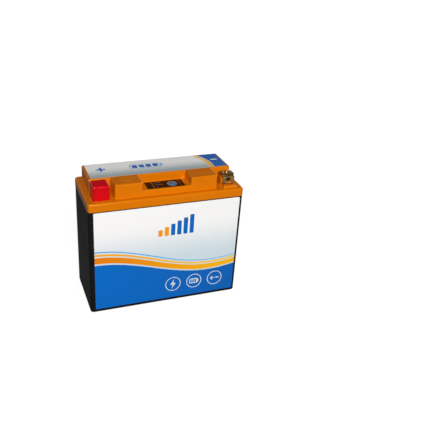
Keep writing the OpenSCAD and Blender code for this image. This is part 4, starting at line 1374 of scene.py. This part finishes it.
button_foot = well_floor + BUTTON_LIFT
dish_radius = button_radius - RIM_WIDTH
dish_floor = button_high.z - DISH
button_profile = [(STEM, button_low.z), (STEM, button_foot), (button_radius, button_foot)]
button_profile += [(button_radius + grow, height) for grow, height in roll_over(BUTTON_CROWN, button_high.z)]
button_profile += [(dish_radius, dish_floor)]
button = turned("round_button", button_profile, place=(button_middle.x, button_middle.y, 0))
dress(button, button_plastic)
settle(button, "test_button", "button_blue", "test_button")

face_layers = [(button_white, disc(0, 0, dish_radius)), (button_sky, disc(0, 0, dish_radius - PALE_RING))]
face_layers += symbol(0, 0, FACE_GAUGE)
face_place = (button_middle.x, button_middle.y, dish_floor)
face_film = printed_film("button_face_film", face_layers, FACE_FILM, UPRIGHT, face_place)
settle(face_film, "test_button", "button_blue")

# %% [markdown]
# ## Inner pieces
#
# The welded lid hides the pack: cells in moulded holders, nickel busbars, copper leads, two boards, a flat
# cable and foam. They could be modelled again as meshes, but the CAD shapes are right as they are. A part in
# a library may be shown taken apart, so each of them has a real finish too, given by the record's slot.
# Grains and streaks of a tenth of a millimetre or less are drawn at 0.3 mm and more, so that they can show.

# %% Inner metals
# Rolled copper: warm red metal, with streaks along the roll
strap_copper = surface("copper_strip_rolled", "#c77b4a", 0.30,
                       (5.0, ("#b86b3c", "#d08858"), (0.24, 0.40), 4.0), (0.6, 0.006, (1.0, 0.1, 0.1)),
                       Metallic=1.0)

# Rolled nickel: a warmer grey than steel, with the same streaks
strip_nickel = surface("nickel_strip_rolled", "#c8c4b8", 0.28,
                       (5.0, ("#bab6aa", "#d4d0c4"), (0.22, 0.36), 4.0), (0.6, 0.005, (0.1, 1.0, 1.0)),
                       Metallic=1.0)

# Deep-drawn steel under nickel: bright, with faint lines up the can
can_steel = surface("nickel_plated_steel_drawn", "#c9ccd0", 0.22,
                    (8.0, ("#bfc3c8", "#d2d4d6"), (0.16, 0.28)), (0.8, 0.006, (1.0, 1.0, 0.05)),
                    Metallic=1.0)
print("inner metals:", strap_copper.name, strip_nickel.name, can_steel.name)

# %% Inner plastics, rubber and card
# Moulded rubber: dull black with a powdery look
seal_rubber = surface("black_rubber_moulded", "#222224", 0.7,
                      (4.0, ("#1f1f21", "#29292b"), (0.62, 0.80)), (0.5, 0.02), IOR=1.52)

# Shrink film: glossy blue, drawn tight with slow ripples
sleeve_film = surface("blue_pvc_shrink_film", "#2f6fb5", 0.22,
                      (10.0, ("#2b69ae", "#3678be"), (0.18, 0.30)), (3.0, 0.03), IOR=1.53)

# Pressed fibre: matt cream, flecked by its fibres
card = surface("insulating_fibre_card", "#e4dabd", 0.85,
               (1.5, ("#d9cfb0", "#ebe3ca"), (0.80, 0.92), 5.0), (0.4, 0.02), IOR=1.50)

# Moulded PC and ABS blend: dark grey with a fine satin grain
holder_blend = surface("grey_pc_abs_moulded", "#303236", 0.5,
                       (12.0, ("#2c2e32", "#36383c"), (0.44, 0.58)), (0.7, 0.02), IOR=1.55)

# Moulded epoxy: the flat matt black of chip packages
epoxy = surface("black_epoxy_moulded", "#202024", 0.55,
                (2.0, ("#1c1c20", "#27272b"), (0.48, 0.62)), (0.3, 0.01), IOR=1.55)

# Natural nylon: milky cream that lets light a short way in
nylon = surface("natural_nylon_moulded", "#eae3d2", 0.45,
                (3.0, ("#e4dcc8", "#f0eadb"), (0.40, 0.52)), IOR=1.53,
                Subsurface_Weight=0.1, Subsurface_Scale=0.001)

# Cast resin: smooth glossy amber, as on small lamps
lamp_resin = surface("amber_lamp_resin", "#f0c060", 0.2,
                     (0.8, ("#e8b450", "#f4cc78"), (0.16, 0.26)), IOR=1.52)
print("inner materials:", len(bpy.data.materials), "in all so far")

# %% Board, flat cable and foam
TRACK_PITCH_MM = 2.5
# A brick texture's rows are a quarter of a unit high, and a wave texture's bands a tenth of pi apart
BRICK_ROW = 0.25
WAVE_BAND = math.pi / 10
TRACK_WIDTH = 0.03
WIRE_PITCH_MM = 1.27
WIRE_DEPTH = 0.2 * MM
FOAM_CELL_MM = 1.2
BUBBLE_DEPTH = 0.3 * MM

# Green solder mask over copper tracks: the tracks show as paler lines under the mask
board, tree, shader = new_material("glass_epoxy_board_green_mask", "#1d6b3a", 0.35, IOR=1.55)
place = add(tree, "TexCoord").outputs["Object"]
tracks = add(tree, "TexBrick", {"Vector": place, "Scale": per_mm(TRACK_PITCH_MM) * BRICK_ROW,
                                "Color1": linear("#1a6236"), "Color2": linear("#1f7240"),
                                "Mortar": linear("#3f9a58"), "Mortar Size": TRACK_WIDTH})
tree.links.new(tracks.outputs["Color"], shader.inputs["Base Color"])


def relief_with_painted_shade(tree, shader, height, low, high, depth):
    """Paints shade into a pattern's low parts, darker where it is lower, and lets the pattern stand out by
    depth.
    """
    painted_shade = add(tree, "Mix", {0: height, MIX_A: linear(low), MIX_B: linear(high)}, data_type="RGBA")
    bump = add(tree, "Bump", {"Height": height, "Distance": depth})
    tree.links.new(painted_shade.outputs[MIX_RESULT], shader.inputs["Base Color"])
    tree.links.new(bump.outputs["Normal"], shader.inputs["Normal"])


# Grey flat cable: round wires side by side, with painted shade in the grooves between them
cable, tree, shader = new_material("grey_pvc_flat_cable", "#9aa0a6", 0.45, IOR=1.53)
place = add(tree, "TexCoord").outputs["Object"]
wires = add(tree, "TexWave", {"Vector": place, "Scale": per_mm(WIRE_PITCH_MM) * WAVE_BAND},
            bands_direction="X")
relief_with_painted_shade(tree, shader, wires.outputs["Fac"], "#7d8389", "#a8aeb4", WIRE_DEPTH)

# Grey closed-cell foam: a matt skin of small bubbles, with painted shade in their hollows
foam, tree, shader = new_material("grey_closed_cell_foam", "#55575c", 0.95, IOR=1.45)
place = add(tree, "TexCoord").outputs["Object"]
cells = add(tree, "TexVoronoi", {"Vector": place, "Scale": per_mm(FOAM_CELL_MM)})
relief_with_painted_shade(tree, shader, cells.outputs["Distance"], "#46484c", "#64666b", BUBBLE_DEPTH)
print("patterned materials:", board.name, cable.name, foam.name)

# %% Give each CAD node its finish
finishes = {
    "case_black": case_plastic, "lid_orange": lid_plastic, "printed_film": front_white,
    "panel_black": panel_black, "button_blue": button_plastic, "cap_red": cap_vinyl,
    "amber_plastic": pipe_acrylic, "terminal_plated": terminal_metal, "zinc_steel": zinc_metal,
    "seal_rubber": seal_rubber, "copper_strap": strap_copper, "nickel_strip": strip_nickel,
    "cell_steel": can_steel, "cell_sleeve": sleeve_film, "insulating_card": card,
    "holder_plastic": holder_blend, "circuit_board": board, "component_black": epoxy,
    "socket_nylon": nylon, "ribbon_grey": cable, "lamp_body": lamp_resin, "foam_grey": foam,
}
for subpart in frame["record"]["subparts"]:
    frame["nodes"][subpart["node"]].material_slots[0].material = finishes[subpart["material_slot"]]

# %% [markdown]
# ## Size
#
# The CAD model's box is printed at the start, and the finished one's here, so that the two can be read side
# by side. The looks may not change the object's size.

# %% The finished size
visual_bounds = [list(corner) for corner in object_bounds()]
print("visual box in mm:", [in_mm(corner) for corner in visual_bounds])
